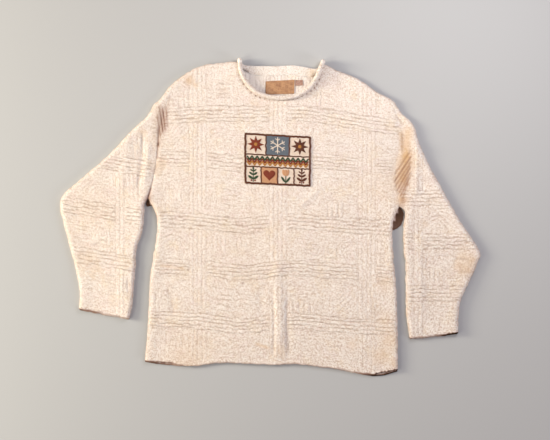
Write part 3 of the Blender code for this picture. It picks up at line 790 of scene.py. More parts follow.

# Where the cloth is stained, and painted warm shade: the first three lines warm the right armhole's hollow,
# the spots at (302, 36) and (-34, 312) the right armpit and the shaded inside left of the neck
STAIN_AND_SHADE_SPOTS = tuple(Mark(*row) for row in (
    (-187, 311, 11, 0.5), (-172, 300, 6, 0.4), (-295, 192, 9, 0.3), (444, -92, 18, 0.22),
    (446, -122, 15, 0.3), (461, -128, 10, 0.25), (430, -116, 11, 0.22), (466, -104, 12, 0.3),
    (-425, -98, 22, 0.2), (-180, -320, 60, 0.12), (-60, -60, 90, 0.06), (-410, 20, 50, 0.1),
    (250, 60, 50, 0.12), (95, 328, 8, 0.65), (-252, 120, 16, 0.2), (-34, 312, 24, 0.13), (0, 262, 30, 0.06),
    (262, -240, 18, 0.22), (254, -323, 20, 0.3), (276, -286, 22, 0.28), (190, -297, 14, 0.22),
    (264, -156, 18, 0.2), (286, -340, 12, 0.3), (26, -310, 14, 0.2), (-196, -352, 40, 0.12),
    (-470, -50, 24, 0.12), (302, 36, 13, 0.5)))
STAIN_AND_SHADE_LINES = tuple(Fold(*row) for row in (
    (318, 206, 312, 126, 11, 0.5), (314, 146, 298, 58, 19, 0.62), (300, 196, 304, 150, 7, 0.3),
    (-256, -114, -197, -124, 3.5, 0.25), (-34, -295, -2, -306, 3.5, 0.4), (-262, 262, -258, 150, 10, 0.16)))

# Painted shade: where fine creases and deep places keep the light out, laid into the cloth's colour
PAINTED_CREASE_SHADE = 0.9
SHADE_SPOTS = tuple(Mark(*row) for row in (
    (-281, 36, 8, 0.9), (305, 35, 6, 0.55), (300, 22, 7, 0.5), (-52, 335, 4.5, 0.3), (97, 326, 4.5, 0.5),
    (91, 313, 4.5, 0.35), (80, 301, 4.5, 0.25), (-63, -155, 3.0, 0.6)))
SHADE_LINES = tuple(Fold(*row) for row in (
    (-244, 250, -250, 190, 11, 0.4), (-252, 195, -257, 160, 6, 0.25), (-260, 231, -253.5, 182, 1.9, 0.5),
    (-256, 253, -247, 190, 1.9, 0.6), (-248.5, 250, -241.5, 194, 1.9, 0.55),
    (-240.5, 252, -236.5, 204, 1.8, 0.5), (-231, 276, -235.5, 252, 1.8, 0.4),
    (-259, 201, -258, 160, 2.0, 0.5), (-258.5, 168, -261, 130, 2.4, 0.6), (-262.5, 118, -266, 95, 2.2, 0.45),
    (-267.5, 86, -273, 68, 2.2, 0.3), (-274, 66, -281, 42, 3.2, 0.75), (-295.5, 178, -295.5, 151, 1.8, 0.26),
    (-304, 112, -306, 48, 2.0, 0.16), (-329, -150, -323, -186, 1.9, 0.3, 3), (304, 190, 303, 148, 3.2, 0.4),
    (312, 140, 300, 60, 18, 0.12), (434, -116, 445, -132, 1.9, 0.18), (445, -132, 462, -115, 1.9, 0.15),
    (432, -96, 448, -104, 1.9, 0.14), (450, -142, 462, -124, 1.9, 0.18), (324, 152, 286, 94, 1.9, 0.55),
    (325, 138, 285, 77, 1.9, 0.75), (324, 124, 287, 66, 1.9, 0.65), (323, 113, 291, 56, 1.9, 0.75),
    (322, 100, 294, 48, 1.9, 0.65), (321, 89, 298, 42, 1.9, 0.7), (318, 76, 303, 38, 2.4, 0.5),
    (288, 232, 306, 208, 2.0, 0.3), (0, -158, 3, -322, 2.0, 0.15, 5), (42, -196, 44, -322, 2.0, 0.17, -3),
    (66, 17, 116, 63, 2.0, 0.12), (-236, -172, -228, -230, 1.9, 0.18, 6),
    (-12, 267.5, 68, 270.5, 2.2, 0.12, -5)))

# Gaps between the loops that link the neckband on, each a pit painted dark as its shade: where each is, its
# radius, and how dark it is
EYELETS = tuple(Mark(x, y, 1.8, dark) for x, y, dark in (
    (-73, 322, 0.35), (-68, 312, 0.5), (-61.5, 302.5, 0.75), (-53.5, 292, 0.8), (-44.3, 282.5, 0.85),
    (-34, 275.6, 0.9), (-23.6, 271.6, 0.9), (-12.9, 268.3, 0.7), (-2, 266, 0.45), (9, 264.8, 0.35),
    (20, 264.4, 0.35), (31, 264.4, 0.35), (42, 265.6, 0.4), (53, 268, 0.5), (63, 271.4, 0.8),
    (73, 275.4, 1.0), (84, 280, 1.0), (93.6, 286.4, 1.0), (101.2, 293.8, 1.0), (107, 302.5, 1.0),
    (113, 313, 0.9), (118, 323, 0.6)))


@dataclass(frozen=True)
class Knit:
    """The knit of one piece: its bands, its filled blocks, and how its courses lie."""

    rows: Bands  # the bands along the courses
    ribs: Bands  # the bands along the wales
    blocks: tuple[Block, ...]  # the filled places between them
    slope: float = 0.0  # how steeply the courses climb to the right
    sag: Places = ((-1.0, 0.0), (1.0, 0.0))  # places (across, height) of a line that the courses follow
    # how far the top courses hang down at the left and the right end
    droop: tuple[float, float] = (0.0, 0.0)
    rise: float = 1.05  # how far the bands' ridges stand out
    span: tuple[float, float] = (-300.0, 310.0)  # the left and the right end of the cloth, across
    seed: int = 70  # the seed of its chance steps and low blocks

    RIB_SHARE = 0.42  # the ridges along the wales stand out less than those along the courses
    BLOCK_SHARE = 0.62  # the same for the blocks' ridges
    BLOCK_WIDE, BLOCK_HIGH = (20.0, 48.0), (22.0, 38.0)  # the low random blocks
    BLOCK_PITCH, BLOCK_RISE = (7.4, 9.6), (0.45, 0.85)
    MIX = (LADDER, RIBS, BRICKS, LADDER, NESTED, BRICKS, ARCS, LADDER)
    REACH_UP = 400.0  # how far up and down they go
    HANGING = (90.0, 230.0)  # up, where the courses stop following the sag and start to droop
    HANG_RIGHT, HANG_LEFT = (60.0, 300.0), (150.0, 260.0)  # across, where the droop starts and ends
    JUMP_ACROSS, JUMP_UP = 0.9, 1.7  # how far the ridges jump

    def shift(self, across: Array, up: Array) -> Array:
        """How far above its own height a point of the knit lies.

        Args:
            across, up: the points' places in the knit.

        Returns:
            The difference.
        """
        line = curve(self.sag, 10.0)
        high = smooth_step(*self.HANGING, up)
        hang = self.droop[1] * smooth_step(*self.HANG_RIGHT, across)
        hang += self.droop[0] * smooth_step(*self.HANG_LEFT, -across)
        wave = np.interp(across, line[:, 0], line[:, 1])
        return wave * (1.0 - high) - hang * high + self.slope * (across - self.ribs.middles[0])

    def coordinates(self, points: Array) -> Array:
        """Finds which place of the knit lies at each point.

        Args:
            points: points of the laid cloth.

        Returns:
            Across and up of each.
        """
        across, up = points[:, 0], points[:, 1].copy()
        for _ in range(5):
            up = points[:, 1] - self.shift(across, up)
        return np.column_stack([across, up])

    def jumped(self, knit: Array) -> tuple[Array, Array]:
        """Makes the small jumps of the ridges from one cell of stitches to the next.

        Args:
            knit: across and up of each point.

        Returns:
            Across with its jumps, and up with its own.
        """
        across = knit[:, 0] + self.JUMP_ACROSS * stepped(knit[:, 1], knit[:, 0], (11.5, 10.0), self.seed + 1)
        up = knit[:, 1] + self.JUMP_UP * stepped(knit[:, 0], knit[:, 1], (14.0, 8.6), self.seed + 2)
        return across, up

    @cached_property
    def all_blocks(self) -> tuple[Block, ...]:
        """Lays low random blocks side by side over the whole cloth, then the placed ones.

        Returns:
            All the blocks, of which a later one covers an earlier one.
        """
        random = np.random.default_rng(self.seed)
        found = []
        y = -self.REACH_UP
        while y < self.REACH_UP:
            high = random.uniform(*self.BLOCK_HIGH)
            x = self.span[0]
            while x < self.span[1]:
                wide = random.uniform(*self.BLOCK_WIDE)
                found.append(Block(x + wide / 2, y + high / 2, wide, high, self.MIX[random.integers(8)],
                                   random.uniform(*self.BLOCK_PITCH), random.uniform(*self.BLOCK_RISE)))
                x += wide
            y += high
        return (*found, *self.blocks)

    def numbers(self, across: Array, up: Array) -> Array:
        """Numbers the block or band that each point of the knit lies in.

        Args:
            across, up: the points' places in the knit.

        Returns:
            The numbers: the blocks first, then the bands along the courses, then those along the wales.
        """
        found = np.zeros(len(up), int)
        count = len(self.all_blocks)
        for k, block in enumerate(self.all_blocks):
            found[block.inset(across, up) > 0] = k
        rows = [self.rows.holds(up, i) for i in range(len(self.rows.middles))]
        for i, held in enumerate(rows):
            found[held] = count + i
        for j in range(len(self.ribs.middles)):
            held = self.ribs.holds(across, j)
            for i, row in enumerate(rows):
                if (i + j) % 2 == 0:
                    held = held & ~row
            found[held] = count + len(rows) + j
        return found

    def ridges(self, across: Array, up: Array, numbers: Array) -> tuple[Array, Array]:
        """Works out the ridges of each point's own block or band.

        Args:
            across, up: the points' places in the knit.
            numbers: the block or band to use for it.

        Returns:
            Where the point lies from groove to groove, and how far the ridges stand out there.
        """
        phase, rise = np.zeros(len(up)), np.zeros(len(up))
        blocks = self.all_blocks
        first_row, first_rib = len(blocks), len(blocks) + len(self.rows.middles)
        for k in np.unique(numbers):
            at = numbers == k
            if k < first_row:
                phase[at] = blocks[k].phase(across[at], up[at])
                rise[at] = self.BLOCK_SHARE * blocks[k].strength(across[at], up[at])
            elif k < first_rib:
                phase[at], rise[at] = self.rows.phase(up[at], k - first_row), self.rise
            else:
                phase[at], rise[at] = self.ribs.phase(across[at], k - first_rib), self.RIB_SHARE * self.rise
        return phase, rise


@dataclass(frozen=True)
class Lie:
    """How the upper layer of a piece lies over the lower one."""

    outline: Outline  # the piece's outline
    neighbours: tuple[Places, ...]  # the folded edges of the pieces sewn to it
    loft_middle: float  # the air between the layers in the middle
    loft_seam: float = 1.7  # the same beside a seam, alike on both its sides
    seed: int = 11  # the seed of that unevenness
    loft_edge: float = 2.6  # the extra air beside a folded edge
    tip_rise: float = 0.0  # how far the neck's corners stand up
    humps: float = 0.35  # the height of the cloth's random unevenness

    LOFT_REACH = 26.0  # how far in the air of an edge or a seam differs
    FOLD_SOFT = 10.0  # how far in a folded edge's rounding reaches
    TIP_STAND = 0.85  # how little a neck corner rounds off
    HOLLOW_DEEP = 0.8  # the share of the air that a hollow takes
    HUMP, SMALL_HUMP = 85.0, 30.0  # how wide the unevenness is

    def underside(self, points: Array) -> Array:
        """Works out how high the upper layer's inside lies.

        Args:
            points: the points, seen from above.

        Returns:
            The height of the inside at each.
        """
        stand = tips(points) if self.tip_rise else np.zeros(len(points))
        beside = np.full(len(points), np.inf)
        seam = np.full(len(points), np.inf)
        rounding = np.ones(len(points))
        for edge, line in zip(self.outline.edges, self.outline.lines):
            away = line.distance(points)
            if edge.kind is EdgeKind.FOLD:
                beside = np.minimum(beside, away)
            if edge.kind is EdgeKind.SEAM:
                seam = np.minimum(seam, away)
            if edge.soft:
                near = 1.0 - np.minimum(away / edge.soft, 1.0)
                rounding *= np.sqrt(np.maximum(1.0 - near**2, 0.0))
            if edge.hollow:
                rounding *= 1.0 - self.HOLLOW_DEEP * (1.0 - smooth_step(0.0, edge.hollow, away))
        for places in self.neighbours:
            beside = np.minimum(beside, Line(curve(places, EDGE_STEP)).distance(points))
        near = 1.0 - np.minimum(beside / self.FOLD_SOFT, 1.0)
        rounding *= np.sqrt(np.maximum(1.0 - near**2, 0.0))
        air = self.loft_seam + (self.loft_middle - self.loft_seam) * smooth_step(0.0, self.LOFT_REACH, seam)
        air += self.loft_edge * np.exp(-((beside / self.LOFT_REACH) ** 2)) * (1.0 - stand)
        air += self.tip_rise * stand * tip_share(points)
        for fold in FOLDS:
            air += fold.height(points)
        small = uneven(points, self.SMALL_HUMP, self.seed + 1)
        air += self.humps * (uneven(points, self.HUMP, self.seed) + 0.6 * small)
        dip = (1.0 - rounding) * (1.0 - self.TIP_STAND * stand)
        return LIE + np.maximum(air, 0.0) * (1.0 - dip)


def depth_of(marks: tuple[Mark | Fold, ...], points: Array) -> Array:
    """How strongly the marks show at each point, from 0 to 1."""
    return np.clip(sum(mark.height(points) for mark in marks), 0.0, 1.0)


def cloth_marks(points: Array, shade: Array | float = 0.0, pale: Array | float = 0.0) -> dict[str, Array]:
    """The marks that the cotton reads: stains with painted warm shade, painted shade, and painted light.

    Args:
        points: the piece's points.
        shade: painted shade at each point by its place on the piece, from 0 to 1.
        pale: painted light at each point, which lifts the colour where shadow falls.

    Returns:
        The marks by name.
    """
    plan = points[:, :2]
    dark = np.maximum(PAINTED_CREASE_SHADE * depth_of(SHADE_SPOTS + SHADE_LINES, plan), shade)
    stain_and_warm_shade = depth_of(STAIN_AND_SHADE_SPOTS + STAIN_AND_SHADE_LINES, plan)
    return {"stain_and_warm_shade": stain_and_warm_shade, "shade": dark, "pale": pale + np.zeros(len(plan))}


def rim_shade(points: Array, edge: Array, depth: Array, reach: float) -> Array:
    """Painted shade along a cut edge's rim, standing in for the shadow under the edge.

    Args:
        points: the piece's points.
        edge: the points along the cut edge.
        depth: how dark it would be right at the edge, for each point.
        reach: how far in the dark reaches.

    Returns:
        The shade at each point.
    """
    ragged = 1.0 + 0.5 * np.clip(uneven(points, 6.0, 47), -1.0, 1.0)
    away = Line(edge).distance(points[:, :2]) * ragged
    return depth * (1.0 - smooth_step(0.3 * reach, reach * 1.3, away))


def tips(points: Array) -> Array:
    """1 near the two corners of the neck, where the front stands up, and 0 away from them."""
    return 1.0 - smooth_step(*TIP_FADE, nearest(points, NECK_CORNERS))


def tip_share(points: Array) -> Array:
    """How high the neck's corner beside each point stands: the left one stands less than the right one."""
    return np.where(points[:, 0] < NECK_MIDDLE, TIP_LEFT, 1.0)


def rough_edge(line: Array) -> Array:
    """Gives a folded edge the small waves that the knit's ridges make, none at its ends.

    Args:
        line: the points along the edge.

    Returns:
        The points with their waves.
    """
    ends = np.minimum(np.arange(len(line)), np.arange(len(line))[::-1])
    wave = 0.55 * uneven(line, 8.6, 45) + 0.6 * uneven(line, 21.0, 46)
    wave *= smooth_step(3.0, 10.0, ends.astype(float))
    return line + to_the_left(np.gradient(line, axis=0)) * wave[:, None]


@dataclass(frozen=True)
class SlubCotton:
    """Undyed cotton of thick and thin slub yarn, knitted, washed and worn soft.

    The uneven yarn gives the eye fine beige streaks and tan flecks over a warm cream, the stitches give it a
    matt grain, and the washed fibres a faint bloom at the edges.
    """

    name: str
    wale: float = 3.5  # the width of a column of stitches, in millimetres
    course: float = 2.87  # the height of a row of stitches
    cream: str = "#F7ECE4"  # the yarn's main colour
    light: str = "#FFFAF4"  # where the yarn is thick and open; also laid as painted light on the neck's inside
    beige: str = "#E9D9C7"  # the slubs' colour
    tan: str = "#CBA479"  # the flecks' colour, bits of seed and leaf in the cotton
    gap: str = "#CDB5A2"  # the colour between the stitches, where light goes deep into the yarn
    open: str = "#C0A48E"  # the same where the worn yarn lies more open
    # The colour between two ridges, warm because light bounces from cotton to cotton
    groove: str = "#A07C62"
    blush: str = "#F1DCDC"  # the faint pink of the washed yarn
    butter: str = "#F4E2C4"  # the faint yellow of the worn yarn
    shade: str = "#8C563E"  # painted shade: the colour of fine creases and deep places
    deep: str = "#3A2C20"  # the same where hardly any light gets in
    stain_and_warm_shade: str = "#D3A870"  # the colour of old stains, and of painted warm shade in hollows
    depth: float = 0.9  # how deep the stitches are, in millimetres

    # Soft noise over the knit: a hump's width and height in millimetres, where the noise starts, its detail
    NOISES = {"slubs": (7.0, 2.6, 3.1, 2.0), "flecks": (4.4, 2.6, 11.3, 2.0), "breaks": (9.0, 7.0, 41.7, 2.0),
              "patches": (70.0, 55.0, 23.9, 2.0), "washed": (44.0, 36.0, 57.1, 2.0),
              "yellowed": (38.0, 52.0, 71.3, 2.0), "fuzz": (1.1, 1.1, 7.7, 3.0)}
    ROUGHNESS = 0.92
    LOW_RIGHT = (0.8, -1.0, 0.0)  # the way in which the yarn is worn more and more

    # Each amount: its name, what is done, and numbers or the names of earlier amounts. RAMP takes an amount
    # and rises softly from 0 at the first number to 1 at the second, or to a third number if there is one
    AMOUNTS = (
        # The V-shaped stitches, from 0 in the gaps to 1 on the yarn
        ("beside", "FRACT", "wales"), ("off", "SUBTRACT", "beside", 0.5), ("arm", "ABSOLUTE", "off"),
        ("leg", "MULTIPLY", "arm", math.tau), ("rounded", "SINE", "leg"),
        ("climb", "MULTIPLY_ADD", "arm", 1.1, "courses"), ("turn", "MULTIPLY", "climb", math.tau),
        ("along", "SINE", "turn"), ("lifted", "MULTIPLY_ADD", "along", 0.35, 0.65),
        ("stitches", "MULTIPLY", "rounded", "lifted"), ("gaps", "SUBTRACT", 1.0, "stitches"),
        # Thin lines between the knit's ridges, as strong as these stand out and a little broken
        ("round", "MULTIPLY", "phase", math.tau), ("wave", "COSINE", "round"),
        ("thin", "RAMP", "wave", 0.25, 0.95), ("broken", "RAMP", "breaks", 0.3, 0.6),
        ("kept", "MULTIPLY_ADD", "broken", 0.7, 0.3), ("strong", "MULTIPLY", "standing", "kept"),
        ("line", "MULTIPLY", "thin", "strong"), ("faint_line", "MULTIPLY", "line", 0.6),
        # Low down and on the right the yarn is worn most, and its grain is more open
        ("worn", "RAMP", "low_right", -0.15, 0.3, 0.75), ("raised", "RAMP", "chance", 0.45, 0.75),
        ("parted", "RAMP", "chance", 0.42, 0.0), ("worn_light", "MULTIPLY", "worn", "raised"),
        ("worn_open", "MULTIPLY", "worn", "parted"),
        # The yarn's own colours
        ("pale_patches", "RAMP", "patches", 0.35, 0.7, 0.5), ("pink", "RAMP", "washed", 0.45, 0.7, 0.5),
        ("yellow", "RAMP", "yellowed", 0.5, 0.7, 0.6), ("light_loops", "RAMP", "chance", 0.5, 1.0, 1.0),
        ("dark_loops", "RAMP", "chance", 0.5, 0.0, 0.85), ("streaks", "RAMP", "slubs", 0.5, 0.68, 0.4),
        ("bits", "RAMP", "flecks", 0.62, 0.8, 0.3), ("dark_gaps", "RAMP", "gaps", 0.3, 1.0, 0.5),
        # Painted shade: where it is deepest it turns to the deep colour
        ("deepest", "RAMP", "shade", 0.62, 1.0, 1.0),
        # What shines and blooms less in the shade
        ("gleam", "RAMP", "shade", 0.7, 0.0, 0.2), ("bloom", "RAMP", "shade", 0.7, 0.0, 0.12),
        # The surface's height
        ("yarn", "MULTIPLY_ADD", "slubs", 0.6, "stitches"), ("grown", "MULTIPLY_ADD", "chance", 0.4, "yarn"),
        ("sunk", "MULTIPLY_ADD", "line", -1.2, "grown"), ("height", "MULTIPLY_ADD", "fuzz", 0.5, "sunk"),
    )
    # Colours laid on the cream one after the other, each by an amount; the last four lay painted light,
    # stains with painted warm shade, and painted shade
    LAYERS = (("light", "pale_patches"), ("blush", "pink"), ("butter", "yellow"), ("light", "light_loops"),
              ("gap", "dark_loops"), ("light", "worn_light"), ("open", "worn_open"), ("beige", "streaks"),
              ("tan", "bits"), ("gap", "dark_gaps"), ("groove", "faint_line"), ("light", "pale"),
              ("stain_and_warm_shade", "stain_and_warm_shade"), ("shade", "shade"), ("deep", "deepest"))

    def sources(self, tree: Tree) -> dict[str, Socket]:
        """Adds what the amounts start from: the noises, the stitches' cells and the piece's own marks.

        Args:
            tree: the material's tree.

        Returns:
            The outputs by name.
        """
        found = {}
        knit = add_node(tree, "UVMap", uv_map="knit").outputs["UV"]
        for name, (wide, high, start, detail) in self.NOISES.items():
            place = add_node(tree, "Mapping", {"Vector": knit, "Location": (start, 1.7 * start, 0.0),
                                               "Scale": (1000 / wide, 1000 / high, 1.0)})
            found[name] = add_node(tree, "TexNoise", {
                "Vector": place.outputs[0], "Scale": 1.0, "Detail": detail, "Roughness": 0.6}).outputs["Fac"]
        cells, legs = (add_node(tree, "Mapping", {
            "Vector": knit, "Scale": (count * 1000 / self.wale, count * 1000 / self.course, 1.0)}).outputs[0]
            for count in (1, 2))
        cell = add_node(tree, "VectorMath", {0: legs}, operation="FLOOR")
        found["chance"] = add_node(tree, "TexWhiteNoise", {"Vector": cell.outputs[0]},
                                   noise_dimensions="2D").outputs["Value"]
        found["low_right"] = add_node(tree, "VectorMath", {0: knit, 1: self.LOW_RIGHT},
                                      operation="DOT_PRODUCT").outputs["Value"]
        ridge = add_node(tree, "UVMap", uv_map="ridge").outputs["UV"]
        for place, x, y in ((cells, "wales", "courses"), (ridge, "phase", "standing")):
            parts = add_node(tree, "SeparateXYZ", {"Vector": place}).outputs
            found[x], found[y] = parts["X"], parts["Y"]
        for mark in ("pale", "stain_and_warm_shade", "shade"):
            found[mark] = add_node(tree, "Attribute", attribute_name=mark).outputs["Fac"]
        return found

    def material(self) -> Material:
        """Makes the material.

        Returns:
            The new material.
        """
        material, tree, shader = new_material(self.name)
        known = self.sources(tree)
        for name, work, *terms in self.AMOUNTS:
            values = [known.get(term, term) for term in terms]
            if work == "RAMP":
                ramp = dict(zip(("Value", "From Min", "From Max", "To Max"), values))
                node = add_node(tree, "MapRange", ramp, interpolation_type="SMOOTHSTEP")
            else:
                node = add_node(tree, "Math", dict(enumerate(values)), operation=work)
            known[name] = node.outputs[0]
        colour = linear(self.cream)
        for over, amount in self.LAYERS:
            colour = add_node(tree, "Mix", {
                "Factor": known[amount], "A": colour, "B": linear(getattr(self, over))},
                data_type="RGBA").outputs["Result"]
        bump = add_node(tree, "Bump", {
            "Height": known["height"], "Strength": 0.9, "Distance": 0.001 * self.depth})
        set_inputs(tree, shader, {
            "Base Color": colour, "Roughness": self.ROUGHNESS, "Specular IOR Level": known["gleam"],
            "Sheen Weight": known["bloom"], "Sheen Roughness": 0.6, "Normal": bump.outputs[0]})
        return material


@dataclass(frozen=True)
class WovenTape:
    """Narrow cotton or polyester tape, woven on a shuttle loom.

    Its fine twill gives the eye a slight sheen, and its speckle comes from two colours of thread.
    """

    name: str
    ground: str  # the main thread's colour
    speck: str  # the second thread's colour
    share: float = 0.4  # how much of the second thread shows
    worn: str = "#8F5F42"  # the colour of its worn and creased places
    wear: float = 0.0  # how strongly they show
    # the threads' spacing in millimetres, drawn coarser than the real 0.25 so that it shows
    thread: float = 0.8
    roughness: float = 0.6  # how matt it is

    def material(self) -> Material:
        """Makes the material.

        Returns:
            The new material.
        """
        material, tree, shader = new_material(self.name)
        knit = add_node(tree, "UVMap", uv_map="knit").outputs["UV"]
        threads = add_node(tree, "Mapping", {
            "Vector": knit, "Scale": (1000 / self.thread, 1000 / self.thread, 1.0)}).outputs[0]
        twill = add_node(tree, "TexWave", {
            "Vector": threads, "Scale": 0.31, "Distortion": 0.6, "Detail": 1.0},
            wave_type="BANDS", bands_direction="DIAGONAL")
        colour = linear(self.ground)
        # Specks two threads wide, then worn places about 14 mm wide
        for place, scale, detail, high, most, over in ((threads, 0.45, 2.0, 0.66, self.share, self.speck),
                                                       (knit, 70.0, 3.0, 0.62, self.wear, self.worn)):
            spots = add_node(tree, "TexNoise", {
                "Vector": place, "Scale": scale, "Detail": detail, "Roughness": 0.7})
            share = add_node(tree, "MapRange", {
                "Value": spots.outputs["Fac"], "From Min": 0.42, "From Max": high, "To Max": most})
            colour = add_node(tree, "Mix", {"Factor": share.outputs[0], "A": colour, "B": linear(over)},
                              data_type="RGBA").outputs["Result"]
        bump = add_node(tree, "Bump", {"Height": twill.outputs["Fac"], "Strength": 0.6, "Distance": 0.00025})
        set_inputs(tree, shader, {"Base Color": colour, "Roughness": self.roughness, "Sheen Weight": 0.1,
                                  "Normal": bump.outputs[0]})
        return material


@dataclass(frozen=True)
class Board:
    """Plain pale board, painted matt, as a photographer's table top."""

    name: str = "matt painted board"
    paint: str = "#AFAFAF"
    grain: float = 2.5  # the roller's marks, in millimetres

    def material(self) -> Material:
        """Makes the material, with a faint roller grain.

        Returns:
            The new material.
        """
        material, tree, shader = new_material(self.name)
        place = add_node(tree, "TexCoord")
        grain = add_node(tree, "TexNoise", {
            "Vector": place.outputs["Object"], "Scale": 1000 / self.grain, "Detail": 2.0})
        bump = add_node(tree, "Bump", {"Height": grain.outputs["Fac"], "Strength": 0.1, "Distance": 0.0003})
        set_inputs(tree, shader, {"Base Color": linear(self.paint), "Roughness": 0.85,
                                  "Normal": bump.outputs[0]})
        return material


class Thread(Enum):
    """The embroidery's thread colours."""

    BROWN = "#563021"
    GREEN = "#31432C"
    RUST = "#743220"
    SLATE = "#5C636B"
    GOLD = "#A8743A"
    PEACH = "#BC8C68"
    CREAM = "#D6C6B6"

    def material(self) -> Material:
        """Mercerised cotton thread in satin stitch, which gives the eye fine bright strokes side by side.

        Returns:
            The new material.
        """
        spacing = 1.1  # millimetres, coarser than the real 0.4 so that it shows
        material, tree, shader = new_material(f"mercerised thread {self.name.lower()}")
        knit = add_node(tree, "UVMap", uv_map="knit").outputs["UV"]
        scaled = add_node(tree, "Mapping", {"Vector": knit, "Scale": (1000 / spacing, 1000 / spacing, 1.0)})
        strokes = add_node(tree, "TexWave", {
            "Vector": scaled.outputs[0], "Scale": 0.31, "Distortion": 1.5, "Detail": 1.0},
            wave_type="BANDS", bands_direction="X").outputs["Fac"]
        lift = add_node(tree, "MapRange", {"Value": strokes, "To Min": 0.75, "To Max": 1.3})
        colour = add_node(tree, "HueSaturation", {"Color": linear(self.value), "Value": lift.outputs[0]})
        bump = add_node(tree, "Bump", {"Height": strokes, "Strength": 0.7, "Distance": 0.0003})
        set_inputs(tree, shader, {"Base Color": colour.outputs[0], "Roughness": 0.6,
                                  "Specular IOR Level": 0.15, "Normal": bump.outputs[0]})
        return material


@dataclass
class FinePanel:
    """The fine wall of one knitted piece."""

    outline: Outline
    lie: Lie
    knit: Knit
    cover: Array | None = None  # the outline of what is sewn on it, under which it is plain
    pits: tuple[Mark, ...] = ()  # small pits in it

    ROWS = (0.5, 1.2, 2.4, 4.2, 6.6)  # rows of points beside the outline, by their distance from it
    STEP_ACROSS, STEP_UP = 2.3, 2.0  # the grid's spacing
    FADE = (3.0, 9.0)  # from the outline, where the knit starts to show and shows fully
    PIT_RINGS = ((0.0, 1), (1.1, 7), (2.2, 9))  # radius and number of points
    PIT_DEEP = 1.4
    SEAM_FLAT = 0.8  # how much less a sewn edge rounds off than a cut one
    EDGE_PAINTED_SHADE = 0.34  # painted shade on a folded edge, which tones down its lit rim
    EDGE_SHADE_REACH = 5.0  # how far in
    COVER_FADE = (1.0, 7.0)  # beside what is sewn on, where the knit starts to show and shows fully
    EVENNESS, UNEVENNESS, UNEVEN_SIZE = 0.8, 0.25, 26.0  # how much of the knit's relief shows

    def plan(self) -> Array:
        """Lays the upper sheet's inner points: rows that follow the outline, then a grid along the knit.

        Returns:
            The points.
        """
        outline = self.outline
        rows = outline.rows_inside(self.ROWS)
        (x0, y0), (x1, y1) = outline.points.min(0), outline.points.max(0)
        across = np.arange(x0, x1, self.STEP_ACROSS)
        up = np.arange(y0 - 60.0, y1 + 60.0, self.STEP_UP)
        across, up = (grid.ravel() for grid in np.meshgrid(across, up))
        grid = np.column_stack([across, up + self.knit.shift(across, up)])
        grid = grid[inside(grid, outline.points)]
        grid = grid[outline.whole.distance(grid) > self.ROWS[-1] + 1.4]
        points = np.vstack([rows, grid])
        pits = []
        for pit in self.pits:
            middle = np.array((pit.x, pit.y))
            points = points[np.linalg.norm(points - middle, axis=1) > self.PIT_RINGS[-1][0] + 0.7]
            for radius, count in self.PIT_RINGS:
                turn = math.tau * np.arange(count) / count
                pits.append(middle + radius * np.column_stack([np.cos(turn), np.sin(turn)]))
        if pits:
            pits = np.vstack(pits)
            pits = pits[inside(pits, outline.points)]
            points = np.vstack([points, pits[outline.whole.distance(pits) > 0.4]])
        return points

    def pitted(self, points: Array) -> Array:
        """How deep in one of the small pits each point lies, from 0 to the pit's own depth."""
        return np.max([np.zeros(len(points)), *(pit.height(points) for pit in self.pits)], axis=0)

    def worn(self, points: Array) -> Array:
        """Works out the painted shade on the folded edges, which tones down their lit rims.

        Args:
            points: the points.

        Returns:
            The shade at each.
        """
        away = np.min([self.outline.lines[k].distance(points) for k, edge in enumerate(self.outline.edges)
                       if edge.kind is EdgeKind.FOLD], axis=0)
        return self.EDGE_PAINTED_SHADE * (1.0 - smooth_step(0.0, self.EDGE_SHADE_REACH, away))

    def plain(self, points: Array) -> Array:
        """Keeps the edges and what lies under a sewn-on piece plain.

        Args:
            points: the points.

        Returns:
            1 where the knit shows, 0 where it does not.
        """
        fade = smooth_step(*self.FADE, self.outline.whole.distance(points))
        if self.cover is not None:
            beside = Line(ring_of(self.cover)).distance(points)
            fade *= np.where(inside(points, self.cover), 0.0, smooth_step(*self.COVER_FADE, beside))
        return fade

    def surface(self, points: Array, triangles: Array) -> tuple[Array, Array, Array]:
        """Shapes the upper face.

        Args:
            points: its points, seen from above.
            triangles: its faces.

        Returns:
            The points' heights, their knit coordinates, and for each corner of each face where it lies from
            groove to groove and how strongly the ridges stand out there.
        """
        away = self.outline.whole.distance(points)
        knit = self.knit.coordinates(points)
        across, up = self.knit.jumped(knit)
        patchy = np.clip(uneven(knit, self.UNEVEN_SIZE, 73), -1.0, 1.0)
        shown = self.plain(points) * (self.EVENNESS + self.UNEVENNESS * patchy)
        phase, rise = self.knit.ridges(across, up, self.knit.numbers(across, up))
        relief = rise * (0.5 - 0.5 * np.cos(math.tau * phase))
        drop = WALL_ROUND - np.sqrt(np.maximum(WALL_ROUND**2 - np.maximum(WALL_ROUND - away, 0.0) ** 2, 0.0))
        for edge, line in zip(self.outline.edges, self.outline.lines):
            if edge.kind is EdgeKind.SEAM:
                drop *= 1.0 - self.SEAM_FLAT * (1.0 - smooth_step(0.8, 3.0, line.distance(points)))
        lumps = 0.22 * uneven(knit * (1.0, 1.6), 9.0, 40) + 0.16 * uneven(knit, 5.0, 41)
        height = self.lie.underside(points) + WALL - drop + (relief + lumps) * shown
        height -= self.PIT_DEEP * self.pitted(points)
        corner_across, corner_up = across[triangles], up[triangles]
        own = self.knit.numbers(corner_across.mean(1), corner_up.mean(1))
        phase, rise = self.knit.ridges(corner_across.ravel(), corner_up.ravel(), np.repeat(own, 3))
        return height, knit, np.column_stack([phase, rise * shown[triangles.ravel()]])


